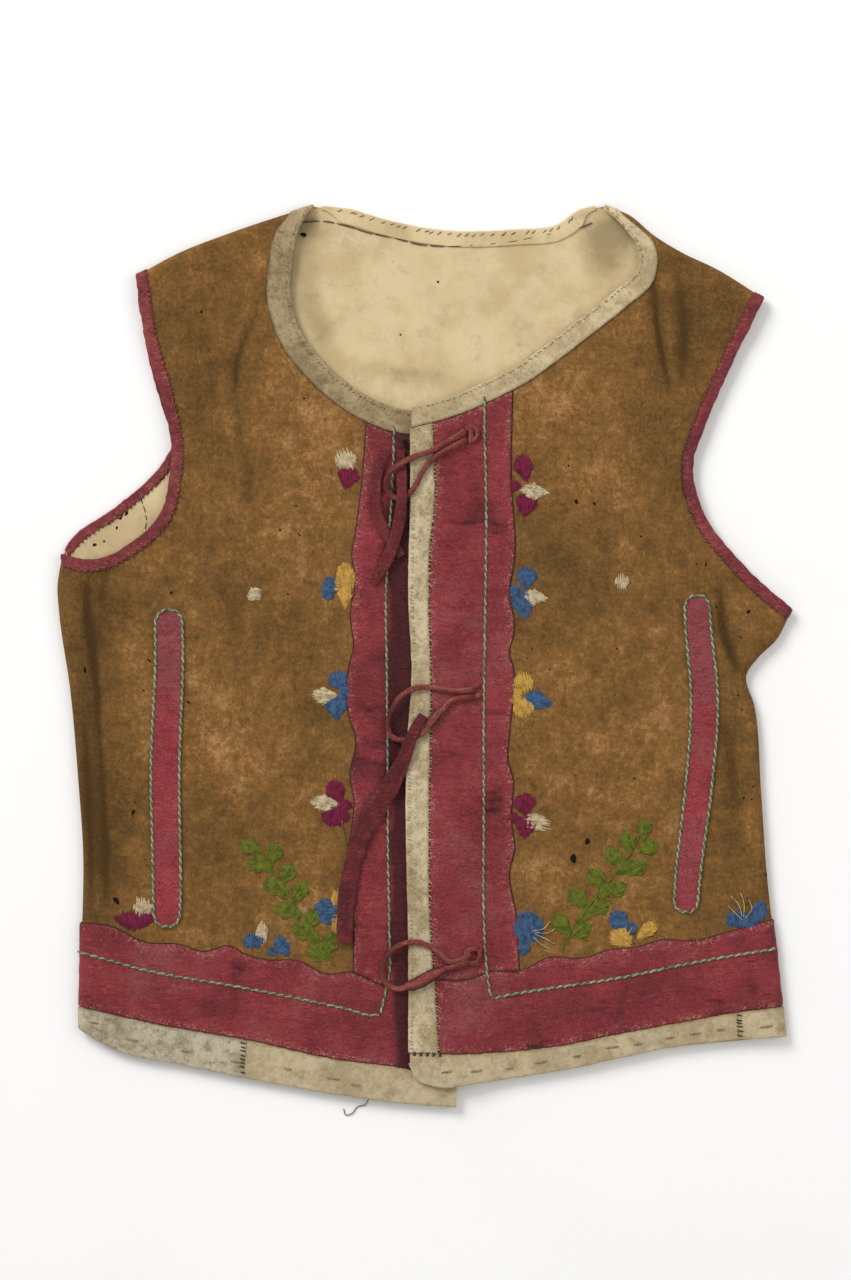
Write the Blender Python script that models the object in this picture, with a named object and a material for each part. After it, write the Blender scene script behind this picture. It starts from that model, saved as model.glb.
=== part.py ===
"""A leather folk vest laid flat on its back, the neck towards +Y.

The back panel lies on the ground. The two fronts lie on it and meet it at rounded folds along the
sides and shoulders, and the wearer's left front laps over the right one. Strips, bands, bindings
and ties of thinner leather lie on them. Tables and sizes are in millimetres, as a maker would
measure them from the middle of the laid-out vest; meshes are in metres.
"""

import math
from collections import namedtuple

import bpy
import numpy as np

MM = 0.001
ORIGIN = np.array([-0.073, -0.393, 0.0])  # the middle of the laid-out vest, as the tables measure it

# The leather and how it lies.
WALL = 2.0  # thickness of the brown body leather
TRIM = 1.0  # thickness of the strips, bands and bindings
GAP = 0.4  # space between a piece and the one it lies on
CORNER_GAP = 0.75  # the same for the left neck binding, which runs into the shoulder at a sharp angle
SEAM_GAP = 0.3  # space between front and back along the side and shoulder seams
SEAM_HEIGHT = 3.9  # height of those seams, half way up the rounded fold
FOLD_REACH = 6.0  # how far the rounding of a fold reaches in from the outline
FRONT_TOP = 6.2  # height of the fronts' upper face where they lie low
FOLD_RISE = 1.6  # how much higher the fronts stand near a fold
FOLD_RISE_REACH = 30.0  # how far from the fold that rise fades out
LAP_RISE = 3.4  # how much the left front climbs to lie over the right one
LAP_LEVEL = 3.0  # how far beyond that edge it stays level
LAP_SLOPE = 30.0  # the width over which it climbs
LAP_DIP = 0.4  # how much the right front is pressed down under it
LAP_DIP_FROM, LAP_DIP_WIDTH = -30.0, 12.0  # where that starts and how wide its slope is
RIGHT_NECK_STRIP = 14.0  # widths of the strips beside each edge
LEFT_NECK_STRIP = 11.5
LEFT_NECK_TAPER_FROM = 0.75  # the share of its length where it starts to narrow
LEFT_NECK_TAPER = 0.7  # how much of its width is left where it runs into the shoulder
BACK_NECK_STRIP = 9.0
ARMHOLE_STRIP = 7.5
BACK_ARMHOLE_STRIP = 5.0
BACK_HEM_STRIP = 12.0
BACK_REACH = 1.6  # how far the back's strips turn down over its edge, stopping short of the ground
TURN_BEVEL = 0.75  # how far out the corner of a turned strip is cut, as a share of its thickness
BAND_INSET = 1.5  # from the hidden front edge to the band on it
RIGHT_HEM_JOIN_X = -114.0  # where the hem strips are pieced
LEFT_HEM_JOIN_X = 195.0
THONG = 2.2  # diameter of the rolled thong of a tie's loop
TAIL_THICKNESS = 1.0
WELT_END = 0.22  # half width of a pocket strip at its very ends, as a share of its half width

# Steps of the meshes.
FOLD_STEPS = 3  # quads over the rounding of a fold
FOLD_CLEAR = 3.5  # how far from the outline a strip on the inside of a fold stays
NECK_CLEAR = 6.2  # and at the back's neck
HALF_WIDTH = 225.0  # typical lengths that the rounding is spread over
NECK_LENGTH = 180.0
UNDERARM = 0.42  # shares of a panel's height at its corners
NECK_CORNER = 0.66
BACK_NECK_START, BACK_NECK_END = 0.27, 0.72  # shares of the back's width at the corners of its neck
ARMHOLE_LENGTH = 230.0
FRONT_COLUMNS = np.array([
    0, 8, 16, 24, 32, 41, 50, 61, 75, 91, 108, 125, 142, 158, 174, 190, 205]) / HALF_WIDTH
SIDE_SHARES = np.array([0, 0.15, 0.30, 0.45, 0.60, 0.72, 0.82, 0.90, 0.955])
NECK_SHARES = np.array([0, 0.05, 0.10, 0.15, 0.25, 0.37, 0.51, 0.66, 0.79, 0.88, 0.935])
BESIDE_BAND = 1.0  # the space at a band's ends
SLOPE_STEP = 0.5  # span over which a panel's slope is measured
CURVE_STEPS = 40  # points to each stretch of a measured line
PART_STEPS = 120  # points to a part cut from such a line
OUTLINE_STEPS = 140  # points to a line of an outline
SAME_SHARE = 0.002  # shares of a line closer than this are one
WAY_SHARE = 0.003  # span of a line over which its direction is read
SHORT_WAY_SHARE = 0.01  # the same on a short line
UPPER_ROWS = 6  # rows of a front between the underarm's rounding and the neck's corner
SHOULDER_COLUMNS = 3  # columns of the back over a shoulder, and across its neck
BACK_NECK_COLUMNS = 8
NECK_COLUMNS = 3  # quads across each kind of strip and band
STRIP_COLUMNS = 2
HEM_BAND_COLUMNS = 3
FRONT_BAND_COLUMNS = 5
FRONT_BAND_ROWS = 25
WELT_ROWS = 16
WELT_COLUMNS = 3
LOOP_STEP = 2.2  # in diameters of the thong
TAIL_STEP = 6.0
ROUTE_TRIES = 20  # repeats that settle where a column meets a sloping line
SHARP_ANGLE = math.radians(40)

Fold = namedtuple("Fold", "x0 y0 x1 y1 rise width")  # a ridge, or a trough where rise is negative
Ends = namedtuple("Ends", "start end start_turn end_turn")  # ways of a strip's end rows, and shares that turn
Rib = namedtuple("Rib", "x y width")  # the middle and width of a strip at one place
Way = namedtuple("Way", "x y z")  # a place that a thong passes, z from the ground
Tail = namedtuple("Tail", "x y z width")  # a place that a flat tie end passes

# Outlines, right and left as the wearer has them: the right front is at -X.
RIGHT_HEM = [(19, -281), (-19, -278), (-79, -269), (-144, -256), (-196, -244), (-216, -232)]
RIGHT_SIDE = [(-216, -232), (-215, -184), (-214, -122), (-217, -78), (-222, -22), (-229, 27), (-230, 42),
              (-227, 62)]
RIGHT_ARMHOLE = [(-227, 62), (-212, 58.5), (-198, 61), (-184, 69), (-165, 87), (-159, 110), (-158, 130),
                 (-166, 168), (-174, 196), (-180, 237)]
RIGHT_SHOULDER = [(-71, 280), (-94, 273), (-126, 262), (-154, 251), (-180, 237)]
RIGHT_NECK = [(-1, 150), (-22, 154), (-44, 165), (-63, 181), (-78, 200), (-85, 222), (-84, 244), (-80, 266),
              (-71, 280)]
RIGHT_FRONT_EDGE = [(19, -281), (14, -122), (8, 34), (-1, 150)]

LEFT_HEM = [(-10, -254), (-5, -264), (7, -268), (37, -265), (84, -258), (151, -244), (192, -239), (224, -237)]
LEFT_SIDE = [(224, -237), (218, -184), (213, -140), (209, -84), (205, -32), (200, -12), (207, -2), (219, 10),
             (228, 28)]
LEFT_ARMHOLE = [(228, 28), (212, 41), (195, 58), (174, 85), (167, 103), (166, 122), (171, 138), (181, 162),
                (198, 199), (210, 223)]
LEFT_SHOULDER = [(112, 280), (126, 275), (142, 262), (160, 251), (181, 241), (210, 223)]
LEFT_NECK = [(-9, 153), (9, 158), (34, 168), (59, 181), (81, 197), (99, 211), (118, 226), (133, 241),
             (133, 254), (125, 266), (112, 280)]
LEFT_FRONT_EDGE = [(-10, -254), (-10, -191), (-11, -59), (-8, -12), (-10, 34), (-9, 97), (-9, 153)]

BACK_HEM = [(-216, -232), (-79, -256), (0, -260), (84, -250), (224, -237)]
BACK_RIGHT_ARMHOLE = [(-227, 62), (-222, 70), (-191, 93), (-162, 122), (-157, 133), (-162, 150), (-170, 176),
                      (-180, 237)]
BACK_LEFT_ARMHOLE = [(228, 28), (210, 38), (190, 54), (170, 83), (162, 102), (163, 130), (177, 163),
                     (196, 201), (210, 223)]
BACK_NECK = [(-71, 280), (-48, 277.5), (-22, 270), (15, 264), (59, 265), (80, 267), (99, 278), (112, 280)]

# The lines that bands and strips reach to.
RIGHT_HEM_STRIP_TOP = [(19, -266), (-12, -258), (-56, -252), (-111, -240), (-168, -230), (-216, -219)]
LEFT_HEM_STRIP_TOP = [(-10, -247.6), (9, -248.4), (46, -247.6), (84, -243.5), (121, -236), (159, -229),
                      (192, -223), (222, -219)]
RIGHT_HEM_BAND_TOP = [(18, -212), (-10, -209), (-27, -206), (-46, -198), (-63, -199), (-79, -191),
                      (-101, -190), (-114, -186), (-121, -182), (-140, -185), (-152, -181), (-176, -179),
                      (-197, -169), (-215, -167)]
LEFT_HEM_BAND_TOP = [(4, -202), (26, -202), (41, -197), (59, -197), (76, -189), (99, -189), (114, -184),
                     (132, -182), (146, -178), (168, -178), (191, -172), (216, -165)]
RIGHT_BAND_OUTER = [(-45, -198), (-45, -178), (-48, -123), (-45, -88), (-47, -78), (-44, -50), (-47, -41),
                    (-48, -8), (-45, 5), (-47, 24), (-44, 48), (-46, 61), (-43, 81), (-39, 117), (-37, 147)]
LEFT_BAND_OUTER = [(58, -197), (56, -162), (52, -134), (55, -122), (53, -102), (54, -77), (51, -66),
                   (52, -48), (54, -7), (52, 0), (55, 16), (52, 40), (55, 59), (53, 110), (54, 172)]
EDGE_STRIP_INNER = [(8, -249), (6, -210), (3, -174), (2, -102), (3, -12), (2, 48), (3, 72), (5, 89), (4, 150)]

# How the rows of the strips swing at their two ends.
RIGHT_NECK_ENDS = Ends((0.03, -1), (-0.95, -0.3), 0.12, 0.3)
LEFT_NECK_ENDS = Ends((0, -1), (0.94, -0.34), 0.12, 0.3)
BACK_NECK_ENDS = Ends((0.1, -1), (-0.1, -1), 0.1, 0.1)
RIGHT_ARMHOLE_ENDS = Ends((0.05, -1), (0.9, 0.45), 0.08, 0.08)
LEFT_ARMHOLE_ENDS = Ends((-0.45, -0.9), (-0.86, 0.5), 0.08, 0.08)
BACK_HEM_ENDS = Ends((0.01, 1), (-0.05, 1), 0.05, 0.05)

# The largest soft folds of each front.
RIGHT_FOLDS = [
    Fold(-194, 20, -192, -150, -0.9, 11),  # beside the rounded side
    Fold(-108, 214, -130, 146, -1.2, 12),  # from the neck towards the armhole
    Fold(-112, 110, -100, 10, 0.8, 18),
    Fold(-37, 110, -37, -180, 0.8, 12),  # the band rises before it dips under the lap
    Fold(-120, -212, -40, -222, 0.6, 16),
]
LEFT_FOLDS = [
    Fold(143, 232, 148, 164, -1.2, 11),  # the crease below the neck
    Fold(186, 22, 188, -10, -1.0, 11),  # the pinch under the arm
    Fold(190, -40, 192, -110, -0.8, 11),
    Fold(118, 60, 112, -90, 0.7, 18),
    Fold(100, -212, 165, -203, 0.5, 16),
]

# The pocket strips, from the top down.
RIGHT_WELT = [Rib(-160.5, 29, 18.5), Rib(-160, 3, 19.0), Rib(-162.5, -68, 19.5), Rib(-161.5, -141, 19.0),
              Rib(-161.5, -170, 18.0)]
LEFT_WELT = [Rib(168.5, 38, 17.0), Rib(169.5, 20, 17.5), Rib(173.5, -27, 18.5), Rib(169.7, -84, 18.0),
             Rib(163, -140, 17.0), Rib(161.5, -161, 16.5)]

# The ties. A loop of rolled thong leaves the left front and returns to it; flat ends hang from it.
TOP_LOOP = [
    Way(24.5, 140, 9.8), Way(22.5, 138.4, 11.2), Way(17, 135, 12.0), Way(9.5, 130.6, 12.8), Way(3, 127, 13.0),
    Way(-6, 123.8, 12.9), Way(-15, 119.5, 12.6), Way(-22.5, 113.5, 12.0), Way(-25, 106, 11.0),
    Way(-22.5, 100, 10.0), Way(-16.5, 97.5, 10.6), Way(-9.4, 101.5, 12.7), Way(-5.6, 107, 12.9),
    Way(-2.8, 113, 12.9), Way(1.5, 119.4, 12.9), Way(8.5, 125, 12.9), Way(16, 129.4, 12.1),
    Way(23, 133, 11.2), Way(25.4, 134.2, 9.8),
]
MIDDLE_LOOP = [
    Way(30.5, -21.0, 10.4), Way(28.5, -21.4, 11.6), Way(22, -22.2, 12.6), Way(14, -21.6, 13.0),
    Way(4, -20, 13.1), Way(-7, -20.6, 13.0), Way(-16, -26, 12.4), Way(-21, -34, 11.2), Way(-24, -43, 10.2),
    Way(-21.5, -50.5, 10.8), Way(-14, -53, 12.6), Way(-6.4, -51, 12.9), Way(0, -47, 13.0),
    Way(5, -41.5, 13.0), Way(10, -35, 13.0), Way(14.6, -29, 12.9), Way(20.5, -26.8, 12.7),
    Way(28.5, -25.9, 11.6), Way(30.5, -25.4, 10.4),
]
BOTTOM_LOOP = [
    Way(28, -186.2, 11.9), Way(26, -187.2, 12.5), Way(20.5, -189.9, 12.9), Way(14.5, -190.6, 13.2),
    Way(8.4, -185.5, 13.2), Way(1, -180.4, 13.2), Way(-8, -178.4, 13.2), Way(-16.5, -180.6, 12.6),
    Way(-23.5, -186.5, 11.4), Way(-27.4, -195, 10.4), Way(-25.5, -203.4, 10.3), Way(-19.5, -207.4, 11.4),
    Way(-12.2, -206.6, 12.9), Way(-3.5, -203, 13.0), Way(3.5, -199, 13.1), Way(10, -195.4, 13.2),
    Way(17, -194, 13.1), Way(24, -191.8, 12.7), Way(28, -190.4, 11.9),
]
TOP_TAIL_INNER = [Tail(-15.6, 128, 8.9, 4.0), Tail(-15.4, 118, 9.0, 5.0), Tail(-15, 107, 11.6, 5.5),
                  Tail(-15, 98, 14.4, 5.5), Tail(-16, 88, 12.6, 6.0), Tail(-18.7, 75, 10.4, 6.5),
                  Tail(-23, 62.5, 10.2, 6.5), Tail(-28.7, 51.3, 9.8, 6.0), Tail(-33, 44, 9.8, 3.0)]
TOP_TAIL_OUTER = [Tail(-24, 128, 9.2, 3.5), Tail(-29, 117, 9.4, 5.0), Tail(-31.5, 100, 9.4, 6.0),
                  Tail(-30.5, 88, 9.4, 6.0), Tail(-26.5, 78.5, 9.1, 6.0), Tail(-21, 70, 8.7, 5.5),
                  Tail(-15.2, 61.5, 8.3, 4.5)]
MIDDLE_TAIL = [Tail(-1.4, -37.6, 12.0, 5.0), Tail(-5.4, -43.5, 14.0, 5.5), Tail(-9, -51, 15.2, 6.0),
               Tail(-13.6, -64, 13.0, 7.5), Tail(-21, -79, 10.8, 9.5), Tail(-31, -95, 10.4, 11.0),
               Tail(-40.5, -113, 10.2, 9.5), Tail(-46.5, -134, 9.8, 8.5), Tail(-49.8, -155, 9.6, 9.0),
               Tail(-50.6, -179, 9.4, 8.0)]

# Colours, in linear light.
BROWN = (0.205, 0.107, 0.038, 1.0)
CREAM = (0.60, 0.50, 0.33, 1.0)
RED = (0.28, 0.026, 0.055, 1.0)
TIE_RED = (0.17, 0.018, 0.024, 1.0)


class Line:
    """A smooth line through a few points, read by its share of length from 0 to 1."""

    def __init__(self, points, steps=CURVE_STEPS):
        knots = np.asarray(points, float)
        spans = np.linalg.norm(np.diff(knots, axis=0), axis=1)
        place = np.concatenate([[0.0], np.cumsum(spans)])
        slopes = np.gradient(knots, place, axis=0)
        pieces = [knots[:1]]
        for i, span in enumerate(spans):
            t = np.linspace(0, 1, steps + 1)[1:, None]
            pieces.append(
                (2 * t**3 - 3 * t**2 + 1) * knots[i]
                + (t**3 - 2 * t**2 + t) * span * slopes[i]
                + (3 * t**2 - 2 * t**3) * knots[i + 1]
                + (t**3 - t**2) * span * slopes[i + 1]
            )
        self.take(np.concatenate(pieces))

    def take(self, points):
        self.points = points
        steps = np.linalg.norm(np.diff(points, axis=0), axis=1)
        self.place = np.concatenate([[0.0], np.cumsum(steps)])
        self.length = self.place[-1]

    @classmethod
    def through(cls, points):
        """The straight-sided line of points that already lie close together."""
        line = cls.__new__(cls)
        line.take(np.asarray(points, float))
        return line

    def at(self, shares):
        where = np.clip(shares, 0, 1) * self.length
        return np.stack([np.interp(where, self.place, column) for column in self.points.T], axis=-1)

    def share_where(self, axis, value):
        """The share of length at the first place where a coordinate passes a value."""
        beyond = self.points[:, axis] - value
        before = np.flatnonzero(beyond[:-1] * beyond[1:] <= 0)[0]
        share = beyond[before] / (beyond[before] - beyond[before + 1])
        return (self.place[before] + share * (self.place[before + 1] - self.place[before])) / self.length

    def part(self, start, end):
        return Line.through(self.at(np.linspace(start, end, PART_STEPS)))

    def then(self, other):
        return Line.through(np.concatenate([self.points, other.points[1:]]))

    def reversed(self):
        return Line.through(self.points[::-1])


class Cornered:
    """Lines end to end, with the corners between them at stated shares."""

    def __init__(self, lines, corners):
        self.lines, self.marks = lines, [0.0, *corners, 1.0]

    def at(self, shares):
        shares = np.asarray(shares, float)
        found = self.lines[0].at(shares / self.marks[1])
        for line, start, end in zip(self.lines[1:], self.marks[1:], self.marks[2:]):
            later = line.at((shares - start) / (end - start))
            found = np.where((shares < start)[..., None], found, later)
        return found


class Patch:
    """The plan area between four lines: u runs from inner to outer, v from bottom to top."""

    def __init__(self, bottom, top, inner, outer):
        self.bottom, self.top, self.inner, self.outer = bottom, top, inner, outer

    def plan(self, u, v):
        u, v = np.meshgrid(u, v, indexing="ij")
        c, r = u[..., None], v[..., None]
        corners = [self.bottom.at(k) for k in (0.0, 1.0)] + [self.top.at(k) for k in (0.0, 1.0)]
        return (
            (1 - c) * self.inner.at(v) + c * self.outer.at(v)
            + (1 - r) * self.bottom.at(u) + r * self.top.at(u)
            - (1 - c) * (1 - r) * corners[0] - c * (1 - r) * corners[1]
            - (1 - c) * r * corners[2] - c * r * corners[3]
        )


def unit(vectors):
    return vectors / np.maximum(np.linalg.norm(vectors, axis=-1, keepdims=True), 1e-9)


def smooth_step(x):
    t = np.clip(x, 0, 1)
    return t * t * (3 - 2 * t)


class Outline:
    """Lines where the leather folds round: how far a plan point lies inside them, and the way out."""

    def __init__(self, lines, inside):
        starts, ends, out_a, out_b = [], [], [], []
        for line in lines:
            points = line.at(np.linspace(0, 1, OUTLINE_STEPS))
            along = unit(np.gradient(points, axis=0))
            out = np.stack([along[:, 1], -along[:, 0]], axis=-1)
            middle = len(points) // 2
            if np.dot(out[middle], np.asarray(inside) - points[middle]) > 0:
                out = -out
            starts.append(points[:-1])
            ends.append(points[1:])
            out_a.append(out[:-1])
            out_b.append(out[1:])
        self.a, self.b = np.concatenate(starts), np.concatenate(ends)
        self.out_a, self.out_b = np.concatenate(out_a), np.concatenate(out_b)

    def inside(self, plan):
        flat = plan.reshape(-1, 2)
        span = self.b - self.a
        t = np.einsum("psk,sk->ps", flat[:, None] - self.a, span) / np.maximum((span**2).sum(1), 1e-12)
        t = np.clip(t, 0, 1)
        nearest = self.a + t[..., None] * span
        away = flat[:, None] - nearest
        far = np.linalg.norm(away, axis=-1)
        best = far.argmin(axis=1)
        rows = np.arange(len(flat))
        share = t[rows, best][:, None]
        out = unit(self.out_a[best] * (1 - share) + self.out_b[best] * share)
        depth = np.where((away[rows, best] * out).sum(1) > 1e-6, 0.0, far[rows, best])
        return depth.reshape(plan.shape[:-1]), out.reshape(plan.shape)


class Front:
    """The upper face of a front panel."""

    def __init__(self, outline, folds, lap):
        self.outline, self.folds, self.lap = outline, folds, lap

    def height(self, plan):
        depth, _ = self.outline.inside(plan)
        top = FRONT_TOP + FOLD_RISE * np.exp(-((depth / FOLD_RISE_REACH) ** 2))
        calm = smooth_step((depth - FOLD_REACH) / FOLD_REACH)
        for fold in self.folds:
            start = np.array([fold.x0, fold.y0])
            span = np.array([fold.x1, fold.y1]) - start
            t = np.clip(((plan - start) @ span) / (span @ span), 0, 1)
            away = np.linalg.norm(plan - start - t[..., None] * span, axis=-1)
            top = top + calm * fold.rise * np.exp(-((away / fold.width) ** 2))
        return top + self.lap(plan)

    def face(self, plan):
        """The points of the face over a plan, and its outward normals."""
        depth, out = self.outline.inside(plan)
        across = np.clip(1 - depth / FOLD_REACH, 0, 1)
        up = np.sqrt(1 - across**2)
        height = self.height(plan)
        rise = height - SEAM_HEIGHT - SEAM_GAP / 2
        slope = [
            (self.height(plan + step) - self.height(plan - step)) / (2 * SLOPE_STEP)
            for step in (np.array([SLOPE_STEP, 0]), np.array([0, SLOPE_STEP]))
        ]
        top = np.stack([-slope[0], -slope[1], np.ones_like(height)], axis=-1)
        side = np.concatenate([out, np.zeros_like(height)[..., None]], axis=-1)
        normal = unit((rise * across)[..., None] * side + (FOLD_REACH * up)[..., None] * top)
        z = SEAM_HEIGHT + SEAM_GAP / 2 + rise * up
        return np.concatenate([plan, z[..., None]], axis=-1), normal


class Back:
    """The back panel: its underside is flat on the ground, and its inner face above it shows."""

    def __init__(self, outline):
        self.outline = outline

    def underside(self, plan):
        depth, out = self.outline.inside(plan)
        across = np.clip(1 - depth / FOLD_REACH, 0, 1)
        up = np.sqrt(1 - across**2)
        rise = SEAM_HEIGHT - SEAM_GAP / 2
        zero = np.zeros_like(depth)
        side = np.concatenate([out, zero[..., None]], axis=-1)
        down = np.stack([zero, zero, -np.ones_like(depth)], axis=-1)
        normal = unit((rise * across)[..., None] * side + (FOLD_REACH * up)[..., None] * down)
        return np.concatenate([plan, (rise * (1 - up))[..., None]], axis=-1), normal

    def face(self, plan):
        points, normal = self.underside(plan)
        return points - WALL * normal, -normal


def slab(name, one_face, other_face, finish):
    """A wall between two equal grids of points, closed round its four edges."""
    rows, columns = one_face.shape[:2]
    count = rows * columns
    index = np.arange(count).reshape(rows, columns)
    quads = [index[:-1, :-1], index[1:, :-1], index[1:, 1:], index[:-1, 1:]]
    quads = np.stack(quads, axis=-1).reshape(-1, 4)
    ring = np.concatenate([index[0, :-1], index[:-1, -1], index[-1, :0:-1], index[:0:-1, 0]])
    after = np.roll(ring, -1)
    rim = np.stack([ring, after, after + count, ring + count], axis=-1)
    points = np.concatenate([one_face.reshape(-1, 3), other_face.reshape(-1, 3)])
    faces = np.concatenate([quads, quads[:, ::-1] + count, rim])
    corner = points[faces[:, 0]]
    halves = [np.cross(points[faces[:, k]] - corner, points[faces[:, k + 1]] - corner) for k in (1, 2)]
    if (corner * (halves[0] + halves[1])).sum() < 0:
        faces = faces[:, ::-1]
    mesh = bpy.data.meshes.new(name)
    mesh.from_pydata(((points - ORIGIN) * MM).tolist(), [], faces.tolist())
    mesh.materials.append(finish)
    mesh.shade_smooth()
    mesh.set_sharp_from_angle(angle=SHARP_ANGLE)
    made = bpy.data.objects.new(name, mesh)
    bpy.context.scene.collection.objects.link(made)
    return made


def laid_on(name, surface, plan, finish):
    """A flat strip that lies on a panel, made from the panel's own points moved out."""
    points, normal = surface.face(plan)
    return slab(name, points + GAP * normal, points + (GAP + TRIM) * normal, finish)


def turned_over(name, surface, plan, finish, gap=GAP, reach=WALL):
    """A strip that lies on a panel and turns down over its edge, which is column 0 of the plan."""
    points, normal = surface.face(plan)
    edge, up = points[:, 0], normal[:, 0]
    along = unit(np.gradient(edge, axis=0))
    out = unit(np.cross(along, up))
    inward = unit(points[:, 1] - edge)
    flip = np.where((out * inward).sum(-1) > 0, -1.0, 1.0)
    out = out * flip[:, None]
    near, far = gap, gap + TRIM
    bevel = TURN_BEVEL * far
    outside = [edge + bevel * out + bevel * up, edge + far * out, edge + far * out - reach * up]
    inside = [edge + near * out + near * up, edge + near * out, edge + near * out - reach * up]
    grids = []
    for distance, turned in ((near, inside), (far, outside)):
        flange = points[:, :0:-1] + distance * normal[:, :0:-1]
        grids.append(np.concatenate([flange, np.stack(turned, axis=1)], axis=1))
    return slab(name, grids[0], grids[1], finish)


def fold_shares(length):
    """Shares near 1 that follow the rounding of a fold at the end of a line."""
    angles = np.linspace(math.pi / 2, 0, FOLD_STEPS + 1)
    return 1 - FOLD_REACH * (1 - np.cos(angles)) / length


def between(shares, start, end):
    """The shares of a line inside a stretch of it, and the stretch's two ends."""
    kept = shares[(shares > start + SAME_SHARE) & (shares < end - SAME_SHARE)]
    return np.concatenate([[start], kept, [end]])


def matched(shares, line, other):
    """Shares of another line beside those of a line, at equal distances over the fold at their ends."""
    calm, other_calm = (1 - FOLD_REACH / one.length for one in (line, other))
    return np.where(shares > calm, 1 - (1 - shares) * line.length / other.length, shares * other_calm / calm)


def ruled(one, one_shares, other, other_shares, steps):
    """Plan rows that run straight from a line to another."""
    start, end = one.at(one_shares)[:, None], other.at(other_shares)[:, None]
    return start + (end - start) * np.linspace(0, 1, steps + 1)[None, :, None]


def beside(edge, width, shares, ends, columns):
    """Plan rows from an edge inward, square to it and swinging to a stated way at each end."""
    points = edge.at(shares)
    along = unit(edge.at(shares + WAY_SHARE) - edge.at(shares - WAY_SHARE))
    width = np.broadcast_to(width, shares.shape)[:, None]
    square = np.stack([-along[:, 1], along[:, 0]], axis=-1) * np.sign(width)
    towards_start = smooth_step(1 - shares / ends.start_turn)[:, None]
    towards_end = smooth_step(1 - (1 - shares) / ends.end_turn)[:, None]
    start_way, end_way = unit(np.array(ends.start, float)), unit(np.array(ends.end, float))
    way = square * (1 - towards_start - towards_end) + start_way * towards_start + end_way * towards_end
    steps = np.linspace(0, 1, columns + 1)[None, :, None]
    return points[:, None] + (unit(way) * abs(width))[:, None] * steps


def inner_line(rows, extra=GAP):
    """The line where rows made by beside() end, moved a little further in."""
    return Line.through(rows[:, -1] + extra * unit(rows[:, -1] - rows[:, 0]))


def upright(inner, outer, bottom, top, columns, rows):
    """Plan rows of a band whose four sides are lines: level rows, each column ending on bottom and top."""
    def cross(y, u):
        ordered = (line.points[np.argsort(line.points[:, 1])] for line in (inner, outer))
        sides = [np.interp(y, points[:, 1], points[:, 0]) for points in ordered]
        return sides[0] * (1 - u) + sides[1] * u

    u = np.linspace(0, 1, columns + 1)
    ends = []
    for line in (bottom, top):
        x, y = line.points[np.argsort(line.points[:, 0])].T
        height = np.full_like(u, y.mean())
        for _ in range(ROUTE_TRIES):
            height = np.interp(cross(height, u), x, y)
        ends.append(height)
    y = ends[0] + (ends[1] - ends[0]) * np.linspace(0, 1, rows + 1)[:, None]
    return np.stack([cross(y, u), y], axis=-1)


def welt(name, surface, ribs, finish):
    """A narrow strip with rounded ends on a panel."""
    shares = (1 - np.cos(np.linspace(0, math.pi, WELT_ROWS + 1))) / 2
    middle = Line([(rib.x, rib.y) for rib in ribs])
    width = np.interp(shares, np.linspace(0, 1, len(ribs)), [rib.width for rib in ribs])
    along = unit(middle.at(shares + SHORT_WAY_SHARE) - middle.at(shares - SHORT_WAY_SHARE))
    along[0], along[-1] = along[1], along[-2]
    square = np.stack([-along[:, 1], along[:, 0]], axis=-1)
    from_end = np.clip(np.minimum(shares, 1 - shares) * 2 * middle.length / width, 0, 1)
    half = 0.5 * width * np.maximum(np.sqrt(1 - (1 - from_end) ** 2), WELT_END)
    sides = np.linspace(-1, 1, WELT_COLUMNS + 1)
    plan = middle.at(shares)[:, None] + square[:, None] * (half[:, None] * sides)[..., None]
    return laid_on(name, surface, plan, finish)


def loop(name, ways, finish):
    """A rolled thong along a smooth route."""
    route = Line(ways)
    count = int(route.length / (LOOP_STEP * THONG))
    points = (route.at(np.linspace(0, 1, count + 1)) - ORIGIN) * MM
    curve = bpy.data.curves.new(name, "CURVE")
    curve.dimensions = "3D"
    curve.bevel_depth = THONG / 2 * MM
    curve.bevel_resolution = 1
    curve.use_fill_caps = True
    spline = curve.splines.new("POLY")
    spline.points.add(len(points) - 1)
    for knot, point in zip(spline.points, points):
        knot.co = (*point, 1.0)
    curve.materials.append(finish)
    made = bpy.data.objects.new(name, curve)
    bpy.context.scene.collection.objects.link(made)
    return made


def tail(name, places, finish):
    """A flat tie end along a smooth route, level across its width."""
    route = Line([(p.x, p.y, p.z) for p in places])
    shares = np.linspace(0, 1, int(route.length / TAIL_STEP) + 1)
    points = route.at(shares)
    along = unit(route.at(shares + SHORT_WAY_SHARE) - route.at(shares - SHORT_WAY_SHARE))
    across = unit(np.cross(along, (0.0, 0.0, 1.0)))
    up = unit(np.cross(across, along))
    knots = np.asarray([(p.x, p.y, p.z) for p in places])
    place = np.concatenate([[0.0], np.cumsum(np.linalg.norm(np.diff(knots, axis=0), axis=1))])
    width = np.interp(shares, place / place[-1], [p.width for p in places])
    sides = np.array([-0.5, 0.0, 0.5])
    grid = points[:, None] + across[:, None] * (width[:, None] * sides)[..., None]
    half = 0.5 * TAIL_THICKNESS * up[:, None]
    return slab(name, grid - half, grid + half, finish)


def leather(name, colour, roughness):
    finish = bpy.data.materials.new(name)
    finish.use_nodes = True
    shader = finish.node_tree.nodes["Principled BSDF"]
    shader.inputs["Base Color"].default_value = colour
    shader.inputs["Roughness"].default_value = roughness
    shader.inputs["Metallic"].default_value = 0.0
    return finish


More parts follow.
